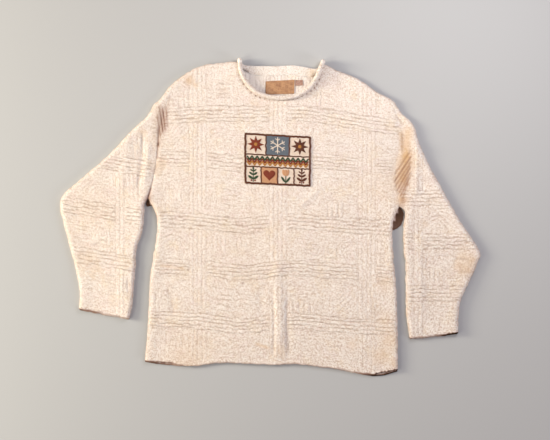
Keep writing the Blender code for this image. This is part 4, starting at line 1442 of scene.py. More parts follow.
def grid_inside(outline: Array, step: float, margin: float) -> Array:
    """Lays a square grid of points inside an outline.

    Args:
        outline: the outline.
        step: the grid's spacing.
        margin: the least distance from the outline.

    Returns:
        The points.
    """
    (x0, y0), (x1, y1) = outline.min(0), outline.max(0)
    grid = np.meshgrid(np.arange(x0 + step / 2, x1, step), np.arange(y0 + step / 2, y1, step))
    points = np.column_stack([axis.ravel() for axis in grid])
    points = points[inside(points, outline)]
    return points[Line(ring_of(outline)).distance(points) > margin]


def rough(places: Places | Array, kind: EdgeKind) -> Edge:
    """A waved edge through some places."""
    return Edge(rough_edge(curve(places, EDGE_STEP)), kind)


def seam_parts(places: Places, share: float, soft: float = 0.0, hollow: float = 0.0,
               back: bool = False) -> tuple[Edge, Edge]:
    """An armhole seam in two parts: a valley below, and cloth that runs on smoothly at the shoulder.

    Args:
        places: the seam's places, from the armpit to the shoulder.
        share: the valley's share of the seam.
        soft: how far in a narrow valley's rounding reaches.
        hollow: how far in a gentle valley reaches.
        back: whether the edge runs from the shoulder to the armpit.

    Returns:
        The two edges, in the order of their run.
    """
    line = curve(places[::-1], EDGE_STEP)[::-1] if back else curve(places, EDGE_STEP)
    split = round(share * len(line))
    parts = (Edge(line[:split + 1], EdgeKind.SEAM, soft, hollow), Edge(line[split:], EdgeKind.SEAM))
    if back:
        return tuple(Edge(part.points[::-1], part.kind, part.soft, part.hollow) for part in parts[::-1])
    return parts


@dataclass
class Body:
    """The front and the back, sewn or knitted together at the sides and shoulders."""

    cotton: Material  # their material
    neck_edges: dict[str, Array]  # the neck edge of each, which the neckband gives
    tuck: float = 1.2  # how far in the back's folded edges meet the table
    neck_painted_light: float = 0.2  # painted light on the back's inside in the neck, against the neckband's shadow
    front: FinePanel = field(init=False)

    HEM_SHADES = ((-289, 0.82), (-232, 0.75), (-190, 0.35), (190, 0.45), (238, 0.98), (294, 1.0))
    PIT_DARK = 0.9  # painted shade of the back's cloth in the armpits, in place of their shadow
    PIT_FADE = 0.06  # how much lighter it gets from there downward
    PIT_FADES = (14.0, 48.0)  # where that starts and ends
    PIT_REACH = 95.0  # how far down the back shows there
    LINING_IN = 0.7  # how far in the front's inside lies
    RIM_FRONT, RIM_BACK = 2.9, 7.0  # how far in the hem's rims carry painted shade
    NECK_SIDE = 0.5  # more painted light still at the neck's left side, where the left corner's shadow falls
    NECK_UP, NECK_ACROSS = (225.0, 250.0), (-45.0, 0.0)  # where that painted light on the inside starts and ends
    RIB = 8.4  # spacing of the ribs on the back's inside
    RIB_DEEP = 0.5  # how deep the valleys between them are
    INSIDE_FROM = 228.0  # how far down the neck opening shows the back's inside
    INSIDE_WIDE = 105.0  # how far to both sides of the neck's middle
    GRIDS = (6.0, 2.1)  # spacing of the back's points, hidden and shown

    def hem_shade(self, points: Array) -> Array:
        """The painted shade along the hem's rim, standing in for the shadow under it, most at its ends."""
        return np.interp(points[:, 0], *zip(*self.HEM_SHADES))

    def outline(self, hem: Places, neck: Array, pits: bool = False) -> Outline:
        """The outline of the front or the back, counterclockwise from the left end of the hem.

        Args:
            hem: the hem's places.
            neck: the points of its neck edge.
            pits: whether it goes on into the two armpits, as a dark sheet of painted shade.

        Returns:
            The outline.
        """
        side_right, side_left = (hem[-1], *SIDE_RIGHT[1:]), (*SIDE_LEFT[:-1], hem[0])
        if pits:
            side_right, side_left = (*side_right[:4], *PIT_RIGHT), (*PIT_LEFT, *side_left[4:])
        right, left = curve(SHOULDER_RIGHT, EDGE_STEP), curve(SHOULDER_LEFT, EDGE_STEP)
        neck = np.vstack([right[-1:], neck, left[:1]])
        return Outline((
            rough(hem, EdgeKind.FREE),
            rough(side_right, EdgeKind.FOLD),
            *seam_parts(ARMHOLE_RIGHT, 0.78, hollow=28.0),
            Edge(rough_edge(right), EdgeKind.FOLD),
            Edge(neck, EdgeKind.FREE),
            Edge(rough_edge(left), EdgeKind.FOLD),
            *seam_parts(ARMHOLE_LEFT[::-1], 0.6, soft=9.0, back=True),
            rough(side_left, EdgeKind.FOLD),
        ), {EdgeKind.SEAM: GAP / 2})

    def __post_init__(self) -> None:
        """Works out the front before anything is sewn on it."""
        outline = self.outline(HEM_FRONT, self.neck_edges["front"])
        sleeves = (SLEEVE_LEFT_INNER, SLEEVE_LEFT_OUTER, SLEEVE_RIGHT_INNER, SLEEVE_RIGHT_OUTER)
        lie = Lie(outline, sleeves, 1.1, tip_rise=TIP_RISE)
        knit = Knit(BODY_ROWS, BODY_RIBS, BODY_BLOCKS, sag=SAG, droop=(6.0, 30.0))
        patch = np.array(CHEST_PATCH, float)
        self.front = FinePanel(outline, lie, knit, cover=patch, pits=EYELETS)

    def make_front(self) -> Piece:
        """Builds the front, with all its ridges and folds over a plain inside.

        Returns:
            The piece.
        """
        panel, outline = self.front, self.front.outline
        ring = len(outline.points)
        plan, triangles = filled(outline.points, panel.plan())
        height, knit, ridges = panel.surface(plan, triangles)
        inner = outline.moved_in(dict.fromkeys(EdgeKind, self.LINING_IN))
        below, faces_below = filled(inner, grid_inside(inner, 24.0, 8.0))
        points, faces = Shell.wall(ring, (plan, triangles, height),
                                   (below, faces_below, panel.lie.underside(below))).joined()
        # Painted shade: in the pits by the neckband, on the folded edges against their lit rims, and along
        # the hem's rim as its shadow
        shade = np.concatenate([np.maximum(panel.pitted(plan), panel.worn(plan)), np.zeros(len(below))])
        shade = np.maximum(shade, rim_shade(points, outline.edges[0].points, self.hem_shade(points),
                                            self.RIM_FRONT))
        front = make_piece("front_knit", points, faces,
                           Dressing(self.cotton, "front_panel", True, np.vstack([knit, below]),
                                    cloth_marks(points, shade), ridges, KNIT_CREASE))
        return front

    def make_back(self) -> Piece:
        """Builds the back, flat on the table, its inside showing in the neck opening.

        Returns:
            The piece.
        """
        outline = self.outline(HEM_BACK, self.neck_edges["back"], pits=True)
        coarse, fine = (grid_inside(outline.points, step, 3.0) for step in self.GRIDS)
        coarse = coarse[coarse[:, 1] < self.INSIDE_FROM]
        beside_neck = np.abs(fine[:, 0] - NECK_MIDDLE) < self.INSIDE_WIDE
        fine = fine[(fine[:, 1] >= self.INSIDE_FROM) & beside_neck]
        plan, triangles = filled(outline.points, outline.rows_inside((1.2,)), coarse, fine)
        away = outline.whole.distance(plan)
        neck = Line(self.neck_edges["back"]).distance(plan)
        drop = np.where(away < 1.0, np.where(neck < 2.0, 0.25, 1.0), 0.0)
        lumps = 0.12 * uneven(plan, 9.0, 50) * smooth_step(2.0, 8.0, away)
        shown = smooth_step(self.INSIDE_FROM, self.INSIDE_FROM + 14.0, plan[:, 1])
        phase = (plan[:, 0] + 1.5 * uneven(plan, 24.0, 51)) / self.RIB
        ribs = self.RIB_DEEP * (0.5 + 0.5 * np.cos(math.tau * phase)) * shown * smooth_step(2.0, 8.0, away)
        tucked = outline.moved_in({EdgeKind.FOLD: self.tuck, EdgeKind.FREE: 0.6})
        points, faces = Shell.wall(
            len(outline.points), (plan, triangles, WALL - drop + np.minimum(lumps, 0.2) - ribs),
            (*filled(tucked, grid_inside(tucked, 30.0, 8.0)), 0.0)).joined()
        # Painted shade along the hem's rim as its shadow, and on the cloth in the armpits
        shade = self.in_pits(points, rim_shade(points, outline.edges[0].points, self.hem_shade(points),
                                               self.RIM_BACK))
        # Painted light on the inside in the neck opening, against the neckband's shadow
        pale = smooth_step(*self.NECK_UP, points[:, 1]) * (
            self.neck_painted_light + self.NECK_SIDE * (1.0 - smooth_step(*self.NECK_ACROSS, points[:, 0])))
        ridges = np.column_stack([phase, 0.6 * shown])[triangles.ravel()]
        back = make_piece("back_knit", points, faces,
                          Dressing(self.cotton, "back_panel", True, None,
                                   cloth_marks(points, shade, pale), ridges, KNIT_CREASE))
        return back

    def in_pits(self, points: Array, shade: Array) -> Array:
        """Paints shade on the back's cloth where it shows in the armpits, between the front and a sleeve, in
        place of their shadow.

        Args:
            points: the back's points.
            shade: how dark each is so far.

        Returns:
            How dark each is now.
        """
        corners = np.array([SIDE_RIGHT[-1], SIDE_LEFT[0]], float)
        away = nearest(points[:, :2], corners)
        pit = self.PIT_DARK - self.PIT_FADE * smooth_step(*self.PIT_FADES, away)
        covered = inside(points[:, :2], self.front.outline.points)
        return np.where(covered | (away > self.PIT_REACH), shade, pit)


@dataclass
class Sleeve:
    """A sleeve as a flattened tube, open at the armhole and the cuff."""

    name: str  # the CAD node that it stands for
    cotton: Material
    edges: tuple[Edge, ...]  # its edges, counterclockwise
    knit: Knit  # its knit
    flat: tuple[float, float]  # width all round and length of its cut, in metres
    area: float  # the cut's area in square metres
    cuff: int  # the number of the cuff's edge
    cuff_shades: Places  # places across and how much painted shade the lower layer has there, where it shows at the cuff in the cuff's shadow

    FOLD_RINGS = ((0.0, 2.3), (0.5, 0.9))  # between the two faces: how far in, and how high
    TUCK = 1.8  # how far in the folded edges meet the table
    LOFT = 2.3  # the air between the layers in the middle
    RIM_LOW, RIM_HIGH = 8.0, 3.0  # how far in the cuff carries painted shade, on the lower layer and on both

    def make(self) -> Piece:
        """Builds the tube's outer face, its lining face and the turns between them.

        Returns:
            The piece.
        """
        outline = Outline(self.edges, {EdgeKind.SEAM: GAP / 2})
        lie = Lie(outline, (SIDE_LEFT, SHOULDER_LEFT, SIDE_RIGHT, SHOULDER_RIGHT), self.LOFT)
        panel = FinePanel(outline, lie, self.knit)
        ring = len(outline.points)
        folded = outline.on({EdgeKind.FOLD})
        opened = outline.on({EdgeKind.FREE, EdgeKind.SEAM})
        cuff = outline.on({EdgeKind.FREE})
        cuff.append((cuff[-1] + 1) % ring)

        shell = Shell()
        plan, triangles = filled(outline.points, panel.plan())
        height, knit, ridges = panel.surface(plan, triangles)
        outer_high = shell.sheet(plan, triangles, height, True)
        turns = [outer_high]
        for amount, level in self.FOLD_RINGS:
            turn = outline.moved_in({EdgeKind.FOLD: amount})
            turns.append(shell.points(np.column_stack([turn, np.full(ring, level)])))
        tucked = outline.moved_in({EdgeKind.FOLD: self.TUCK})
        tucked[cuff, 1] -= CUFF_PEEK
        outer_low = shell.sheet(*filled(tucked, grid_inside(tucked, 30.0, 6.0)), 0.0, False)
        turns.append(outer_low)

        lining = outline.moved_in({EdgeKind.FOLD: WALL, EdgeKind.FREE: 0.5})
        within, faces_within = filled(lining, grid_inside(lining, 24.0, 6.0))
        inner_high = shell.sheet(within, faces_within, np.maximum(lie.underside(within), LIE), False)
        lining[cuff, 1] -= CUFF_PEEK
        inner_low = shell.sheet(*filled(lining, grid_inside(lining, 30.0, 6.0)), WALL, True)

        for upper, lower in zip(turns, turns[1:]):
            shell.strip(lower, upper, ring, folded)
        for lower, upper, ends in ((inner_high, inner_low, folded), (inner_high, outer_high, opened),
                                   (outer_low, inner_low, opened)):
            shell.strip(lower, upper, ring, ends)
        for i in range(ring):
            corners = [outer_high + i, inner_high + i, inner_low + i] + [t + i for t in turns[:0:-1]]
            before, here = outline.kinds[i - 1] is EdgeKind.FOLD, outline.kinds[i] is EdgeKind.FOLD
            if here != before:
                shell.fan(corners if here else corners[::-1])
        points, faces = shell.joined()
        # Painted shade along the cuff's rim as its shadow, and on the folded edges against their lit rims
        cuff_line = outline.edges[self.cuff].points
        dark = np.interp(points[:, 0], *zip(*self.cuff_shades))
        shade = rim_shade(points, cuff_line, dark, self.RIM_LOW) * (points[:, 2] <= WALL + 0.01)
        shade = np.maximum(shade, rim_shade(points, cuff_line, dark, self.RIM_HIGH))
        shade[:len(plan)] = np.maximum(shade[:len(plan)], panel.worn(plan))
        all_knit = np.vstack([knit, self.knit.coordinates(points[len(knit):, :2])])
        sleeve = make_piece(f"{self.name}_knit", points, faces,
                            Dressing(self.cotton, self.name, True, all_knit,
                                     cloth_marks(points, shade), ridges, KNIT_CREASE))
        return sleeve


def both_sleeves(cotton: Material) -> tuple[Sleeve, Sleeve]:
    """The sleeves on the left and on the right of the laid garment.

    Args:
        cotton: their material.

    Returns:
        The left one and the right one.
    """
    left_edges = (rough(SLEEVE_LEFT_INNER, EdgeKind.FOLD), *seam_parts(ARMHOLE_LEFT[::-1], 0.6, soft=8.0),
                  rough(SLEEVE_LEFT_OUTER, EdgeKind.FOLD), rough(CUFF_LEFT, EdgeKind.FREE))
    right_edges = (rough(SLEEVE_RIGHT_OUTER, EdgeKind.FOLD),
                   *seam_parts(ARMHOLE_RIGHT, 0.78, hollow=34.0, back=True),
                   rough(SLEEVE_RIGHT_INNER, EdgeKind.FOLD), rough(CUFF_RIGHT, EdgeKind.FREE))
    return (
        Sleeve("left_sleeve", cotton, left_edges,
               Knit(LEFT_ROWS, LEFT_RIBS, LEFT_BLOCKS, slope=-0.17, span=(-490.0, -215.0)),
               flat=(0.42, 0.55), area=0.165, cuff=4,
               cuff_shades=((-441, 0.8), (-405, 0.75), (-385, 0.4), (-325, 0.35))),
        Sleeve("right_sleeve", cotton, right_edges,
               Knit(RIGHT_ROWS, RIGHT_RIBS, RIGHT_BLOCKS, span=(255.0, 490.0)),
               flat=(0.40, 0.56), area=0.15, cuff=4,
               cuff_shades=((321, 0.5), (380, 0.5), (400, 0.96), (433, 1.0))),
    )


@dataclass
class Neckband:
    """The strip linked on round the neck, whose free edge curls outwards into a roll."""

    cotton: Material
    step: float = 2.4  # the spacing of its stations
    roll: float = 5.3  # the roll's radius in front
    roll_back: float = 3.4  # the same behind the neck
    wall: float = 2.2  # the band's thickness
    base: float = 2.2  # from the roll's middle back to the seam, in front
    height: float = 18.0  # the same behind the neck
    end_front: float = 205.0  # where the curl ends in front, in degrees round the roll
    end_back: float = 118.0  # the same behind the neck
    lie_high: float = 4.0  # height of the roll's middle above the front's inside
    painted_light_back: float = 0.3  # painted light on its inside behind the neck, against the shade there
    turns: int = 18  # the steps in which the band turns over at a corner
    arc: int = 26  # the points round the outside of its section

    NARROWING = (4.0, 34.0)  # from the corners, where the roll narrows behind the neck
    CLEARING = (5.0, 14.0)  # from the corners, where the front's edge draws in from under the roll
    SWELL = 0.035  # how unevenly thick it is

    def radius(self, share: Array | float) -> Array | float:
        """The roll's radius where the band stands at this share of its full height."""
        return self.roll + (self.roll_back - self.roll) * share

    def reach(self, share: float) -> float:
        """How far back from the roll's middle the seam lies at this share of the band's full height."""
        return self.base + (self.height - self.base) * share

    def stations(self) -> list[tuple[Array, Array, str]]:
        """The roll's middle line as a closed loop.

        Returns:
            For each station its point, its outward direction and its part of the loop.
        """
        front, back = curve(NECK_FRONT, self.step), curve(NECK_BACK, self.step)
        low = self.radius(smooth_step(*self.NARROWING, nearest(back, back[[0, -1]])))
        back[:, 1] += self.roll - low
        high = self.lie_high + TIP_RISE * tip_share(front) * tips(front) + self.roll
        up = np.array((0.0, 0.0, 1.0))
        found = []
        for plan, heights, side, part in ((front, high, 1, "front"), (back, low, -1, "back")):
            line = np.column_stack([plan, heights])
            found.extend((p, side * up, part) for p in line)
            arm = np.append(front[-1] - front[-2] if part == "front" else front[0] - front[1], 0.0)
            arm /= np.linalg.norm(arm)
            bend = 0.5 * (high[-1] - low[0])
            middle = line[-1] - side * bend * up
            for k in range(1, self.turns):
                turn = math.pi * k / self.turns
                outward = math.cos(turn) * side * up + math.sin(turn) * arm
                found.append((middle + bend * outward, outward, "turn"))
        return found

    def frames(self) -> list[tuple[Array, Array, Array, float, str]]:
        """How the band stands at each station.

        Returns:
            For each its middle, direction to the free edge, outward, share of full height, and part.
        """
        stations = self.stations()
        middles = np.array([s[0] for s in stations])
        tangents = np.roll(middles, -1, axis=0) - np.roll(middles, 1, axis=0)
        is_back = np.array([s[2] == "back" for s in stations])
        near = nearest(middles, middles[is_back][[0, -1]])
        shares = np.where(is_back, smooth_step(*self.NARROWING, near), 0.0)
        found = []
        for (middle, outward, part), tangent, share in zip(stations, tangents, shares):
            tangent = tangent / np.linalg.norm(tangent)
            outward = outward - (outward @ tangent) * tangent
            outward /= np.linalg.norm(outward)
            found.append((middle, np.cross(outward, tangent), outward, float(share), part))
        return found

    def section(self, share: float) -> Array:
        """Draws the outline of the band's wall across its length.

        Args:
            share: the share of the band's full height.

        Returns:
            Its points: how far towards the free edge, and how far outwards.
        """
        base, roll = self.reach(share), self.radius(share)
        level = -roll + (2 * roll - WALL) * share
        end = math.radians(self.end_front + (self.end_back - self.end_front) * share)
        start = math.atan2(level, -base) + math.acos(min(1.0, roll / math.hypot(base, level)))
        if start > 0:
            start -= math.tau
        outer = [(roll * math.cos(a), roll * math.sin(a)) for a in np.linspace(start, end, self.arc)[:-1]]
        within = roll - self.wall
        inner = [(within * math.cos(a), within * math.sin(a))
                 for a in np.linspace(end, start, self.arc // 2)[1:]]
        half = self.wall / 2
        tip = []
        for b in np.linspace(0.0, math.pi, 7):
            away, on = roll - half + half * math.cos(b), half * math.sin(b)
            tip.append((away * math.cos(end) - on * math.sin(end),
                        away * math.sin(end) + on * math.cos(end)))
        return np.array([(-base, level)] + outer + tip + inner + [(-base, level + self.wall)])

    def edge_of(self, part: str) -> Array:
        """The cut edge of the front or the back where the neckband is linked on.

        Args:
            part: front or back.

        Returns:
            The points along it.
        """
        places = []
        for middle, free, _, share, where in self.frames():
            if where != part:
                continue
            side = free[:2] / np.linalg.norm(free[:2])
            clear = self.roll
            if part == "front":
                near = np.linalg.norm(NECK_CORNERS - middle[:2], axis=1).min()
                clear *= 1.0 - float(smooth_step(*self.CLEARING, np.array(near)))
            places.append(middle[:2] - side * (max(self.reach(share), clear) + GAP))
        return np.array(places[::-1] if part == "front" else places)

    def make(self) -> Piece:
        """Sweeps the band's section once round the neck.

        Returns:
            The piece.
        """
        frames = self.frames()
        runs = lengths(np.array([f[0] for f in frames]))
        shell, knit = Shell(), []
        for run, (middle, free, outward, share, _) in zip(runs, frames):
            section = self.section(share)
            swell = 1.0 + self.SWELL * math.sin(run / 6.1) * math.sin(run / 17.0 + 1.0)
            shell.points(middle + swell * (section[:, :1] * free + section[:, 1:] * outward))
            knit.append(np.column_stack([np.full(len(section), run), lengths(section)]))
        size = len(shell.parts[0])
        for k in range(len(frames)):
            shell.strip(k * size, (k + 1) % len(frames) * size, size, list(range(size)))
        points, faces = shell.joined()
        # Painted light on the band's inside behind the neck
        pale = self.painted_light_back * np.repeat([f[3] for f in frames], size)
        band = make_piece("rolled_neck_knit", points, faces,
                          Dressing(self.cotton, "neckband", True, np.vstack(knit),
                                   cloth_marks(points, 0.0, pale), None, KNIT_CREASE))
        return band


SUNK = 0.3  # how far the stitches reach into the cloth
PAD_ROUND = 0.9  # how soon a pad of stitches rises from its edge


def cord(path: Array, width: float, height: float, closed: bool = False) -> Surface:
    """A half-round cord of thread along a path on flat cloth.

    Args:
        path: the points along it.
        width: its width.
        height: how far it stands out.
        closed: whether it comes back to its start.

    Returns:
        Its points, with heights above the cloth, and its faces.
    """
    normal = to_the_left(np.roll(path, -1, axis=0) - np.roll(path, 1, axis=0) if closed
                         else np.gradient(path, axis=0))
    angles = np.linspace(0.0, math.pi, 6)
    section = [(0.5 * width * math.cos(a), height * math.sin(a)) for a in angles]
    section += [(-0.4 * width, -SUNK), (0.4 * width, -SUNK)]
    size, count = len(section), len(path)
    points = np.zeros((count, size, 3))
    for k, (side, high) in enumerate(section):
        points[:, k, :2] = path + side * normal
        points[:, k, 2] = high
    if not closed:
        for end in (0, count - 1):
            points[end, :, :2] = path[end] + 0.5 * (points[end, :, :2] - path[end])
            points[end, :6, 2] *= 0.5
    faces = []
    for i in range(count if closed else count - 1):
        for k in range(size):
            here, there = i * size, (i + 1) % count * size
            b = (k + 1) % size
            faces += [(here + k, there + b, here + b), (here + k, there + k, there + b)]
    if not closed:
        last = (count - 1) * size
        faces += [(0, k, k + 1) for k in range(1, size - 1)]
        faces += [(last, last + k + 1, last + k) for k in range(1, size - 1)]
    return points.reshape(-1, 3), np.array(faces)


def pad(outline: Array, height: float, step: float = 1.3) -> Surface:
    """A soft raised pad of satin stitch over an outline on flat cloth.

    Args:
        outline: its outline, counterclockwise.
        height: how far its middle stands out.
        step: the spacing of its points.

    Returns:
        Its points, with heights above the cloth, and its faces.
    """
    plan, triangles = filled(outline, grid_inside(outline, step, 0.5))
    away = Line(ring_of(outline)).distance(plan)
    return Shell.wall(len(outline), (plan, triangles, 0.1 + height * (1.0 - np.exp(-away / PAD_ROUND))),
                      (*filled(outline), -SUNK)).joined()


def ellipse(x: float, y: float, wide: float, high: float, turn: float = 0.0, point: float = 1.0) -> Array:
    """The outline of an ellipse, whose ends narrow to points where point is over 1.

    Args:
        x, y: its middle.
        wide: its size along its own first axis.
        high: its size across that.
        turn: its turn in degrees.
        point: how strongly the ends narrow.

    Returns:
        The outline, counterclockwise.
    """
    angles = np.linspace(0.0, math.tau, 20, endpoint=False)
    u = 0.5 * wide * np.cos(angles)
    v = 0.5 * high * np.sign(np.sin(angles)) * np.abs(np.sin(angles)) ** point
    c, w = math.cos(math.radians(turn)), math.sin(math.radians(turn))
    return np.column_stack([x + u * c - v * w, y + u * w + v * c])


def star(x: float, y: float, reach: float, points: int = 8, waist: float = 0.5) -> Array:
    """The outline of a star, counterclockwise.

    Args:
        x, y: its middle.
        reach: its radius to the points.
        points: how many points it has.
        waist: the inner corners' share of the reach.

    Returns:
        The outline.
    """
    angles = math.pi / 2 + math.pi / points * np.arange(2 * points)
    radii = reach * np.where(np.arange(2 * points) % 2, waist, 1.0)
    return np.column_stack([x + radii * np.cos(angles), y + radii * np.sin(angles)])


def straight(x0: float, y0: float, x1: float, y1: float, step: float = 2.0) -> Array:
    """Points along a straight path."""
    count = max(2, round(math.hypot(x1 - x0, y1 - y0) / step) + 1)
    return np.column_stack([np.linspace(x0, x1, count), np.linspace(y0, y1, count)])


def rectangle(x0: float, y0: float, x1: float, y1: float, step: float = 2.0) -> list[Array]:
    """The four sides of a rectangle as points, counterclockwise from the lower one."""
    corners = ((x0, y0), (x1, y0), (x1, y1), (x0, y1))
    return [straight(*a, *b, step) for a, b in zip(corners, corners[1:] + corners[:1])]


def once_round(sides: list[Array]) -> Array:
    """The points of a closed outline from those of its sides."""
    return np.vstack([side[:-1] for side in sides])


class Needlework:
    """Threads of several colours on one patch, gathered until they become pieces."""

    GROUND = 0.45  # height of a stitched ground

    def __init__(self) -> None:
        """Starts with nothing, on bare cloth."""
        self.parts: dict[Thread, list[Surface]] = {}
        self.level = 0.0

    def add(self, thread: Thread, stitched: Surface) -> None:
        """Adds one cord or pad of a thread."""
        points, faces = stitched
        self.parts.setdefault(thread, []).append((points + (0.0, 0.0, self.level), faces))

    def ground(self, thread: Thread | None, box: tuple[float, float, float, float]) -> None:
        """Fills a box with flat stitches for the next motifs to stand on, or goes back to bare cloth.

        Args:
            thread: the thread of the ground, or None for bare cloth.
            box: its left, lower, right and upper side.
        """
        self.level = 0.0
        if thread is not None:
            self.add(thread, pad(once_round(rectangle(*box)), self.GROUND, 2.6))
            self.level = self.GROUND

    def joined(self, thread: Thread) -> Surface:
        """Puts one thread's cords and pads together.

        Args:
            thread: the thread.

        Returns:
            All its points and faces.
        """
        shell = Shell()
        for part, triangles in self.parts[thread]:
            shell.faces.append(shell.points(part) + triangles)
        return shell.joined()

    def star(self, thread: Thread, x: float, y: float, reach: float, middle: Thread) -> None:
        """An eight-point star with a round middle of another thread."""
        self.add(thread, pad(star(x, y, reach), 1.0))
        self.add(middle, pad(ellipse(x, y, 0.5 * reach, 0.5 * reach), 1.5))

    def heart(self, thread: Thread, x: float, y: float, size: float) -> None:
        """Stitches a plain heart.

        Args:
            thread: its thread.
            x, y: its middle.
            size: its width.
        """
        t = np.linspace(0.0, math.tau, 32, endpoint=False)
        u = 16 * np.sin(t) ** 3
        v = 13 * np.cos(t) - 5 * np.cos(2 * t) - 2 * np.cos(3 * t) - np.cos(4 * t)
        self.add(thread, pad(np.column_stack([x + size * u / 32, y + size * v / 32])[::-1], 1.1))

    def snowflake(self, thread: Thread, x: float, y: float, reach: float) -> None:
        """Stitches a snowflake of three crossing bars with small branches.

        Args:
            thread: its thread.
            x, y: its middle.
            reach: its radius.
        """
        for turn in (90.0, 30.0, -30.0):
            a = math.radians(turn)
            along = np.array((math.cos(a), math.sin(a)))
            self.add(thread, cord(straight(*((x, y) - reach * along), *((x, y) + reach * along)), 2.4, 0.8))
            for side in (-1, 1):
                fork = (x, y) + 0.62 * side * reach * along
                for branch in (-55, 55):
                    b = math.radians(turn + branch)
                    tip = fork + 0.36 * side * reach * np.array((math.cos(b), math.sin(b)))
                    self.add(thread, cord(straight(*fork, *tip, 1.2), 1.8, 0.7))

    def sprig(self, leaf: Thread, berry: Thread, x: float, y: float, size: float) -> None:
        """Stitches a stem with three pairs of leaves and two berries at its foot.

        Args:
            leaf: the stem's and leaves' thread.
            berry: the berries' thread.
            x, y: its middle.
            size: its height.
        """
        self.add(leaf, cord(straight(x, y - 0.5 * size, x, y + 0.42 * size), 2.0, 0.7))
        for k, high in enumerate((-0.18, 0.08, 0.3)):
            long = size * (0.42 - 0.08 * k)
            for side in (-1, 1):
                middle = x + side * 0.42 * long
                self.add(leaf, pad(ellipse(middle, y + high * size, long, 0.42 * long, side * 35, 1.3), 1.0))
        self.add(leaf, pad(ellipse(x, y + 0.46 * size, 0.26 * size, 0.12 * size, 90, 1.3), 1.0))
        for side in (-1, 1):
            self.add(berry, pad(ellipse(x + side * 0.12 * size, y - 0.38 * size, 4.2, 4.2), 1.3))

    def tulip(self, petal: Thread, leaf: Thread, x: float, y: float, size: float) -> None:
        """Stitches a tulip of three petals on a stem with two leaves.

        Args:
            petal: the petals' thread.
            leaf: the stem's and leaves' thread.
            x, y: its middle.
            size: its height.
        """
        self.add(leaf, cord(straight(x, y - 0.5 * size, x, y + 0.1 * size), 2.0, 0.7))
        for side in (-1, 1):
            at = x + side * 0.17 * size
            self.add(leaf, pad(ellipse(at, y - 0.22 * size, 0.5 * size, 0.15 * size,
                                       90 - side * 35, 1.3), 0.9))
            self.add(petal, pad(ellipse(x + side * 0.13 * size, y + 0.25 * size, 0.46 * size, 0.22 * size,
                                        90 - side * 14, 1.2), 1.0))
        self.add(petal, pad(ellipse(x, y + 0.24 * size, 0.46 * size, 0.22 * size, 90, 1.2), 1.3))

    def zigzag(self, thread: Thread, left: float, right: float, y: float, high: float, peaks: int) -> None:
        """Stitches a band of zigzag.

        Args:
            thread: its thread.
            left: its left end.
            right: its right end.
            y: its middle height.
            high: its height.
            peaks: how many peaks it has.
        """
        corners = np.column_stack([np.linspace(left, right, 2 * peaks + 1),
                                   y + high * (0.5 - np.arange(2 * peaks + 1) % 2)])
        path = [straight(*a, *b)[:-1] for a, b in zip(corners, corners[1:])] + [corners[-1:]]
        self.add(thread, cord(np.vstack(path), 3.6, 0.9))


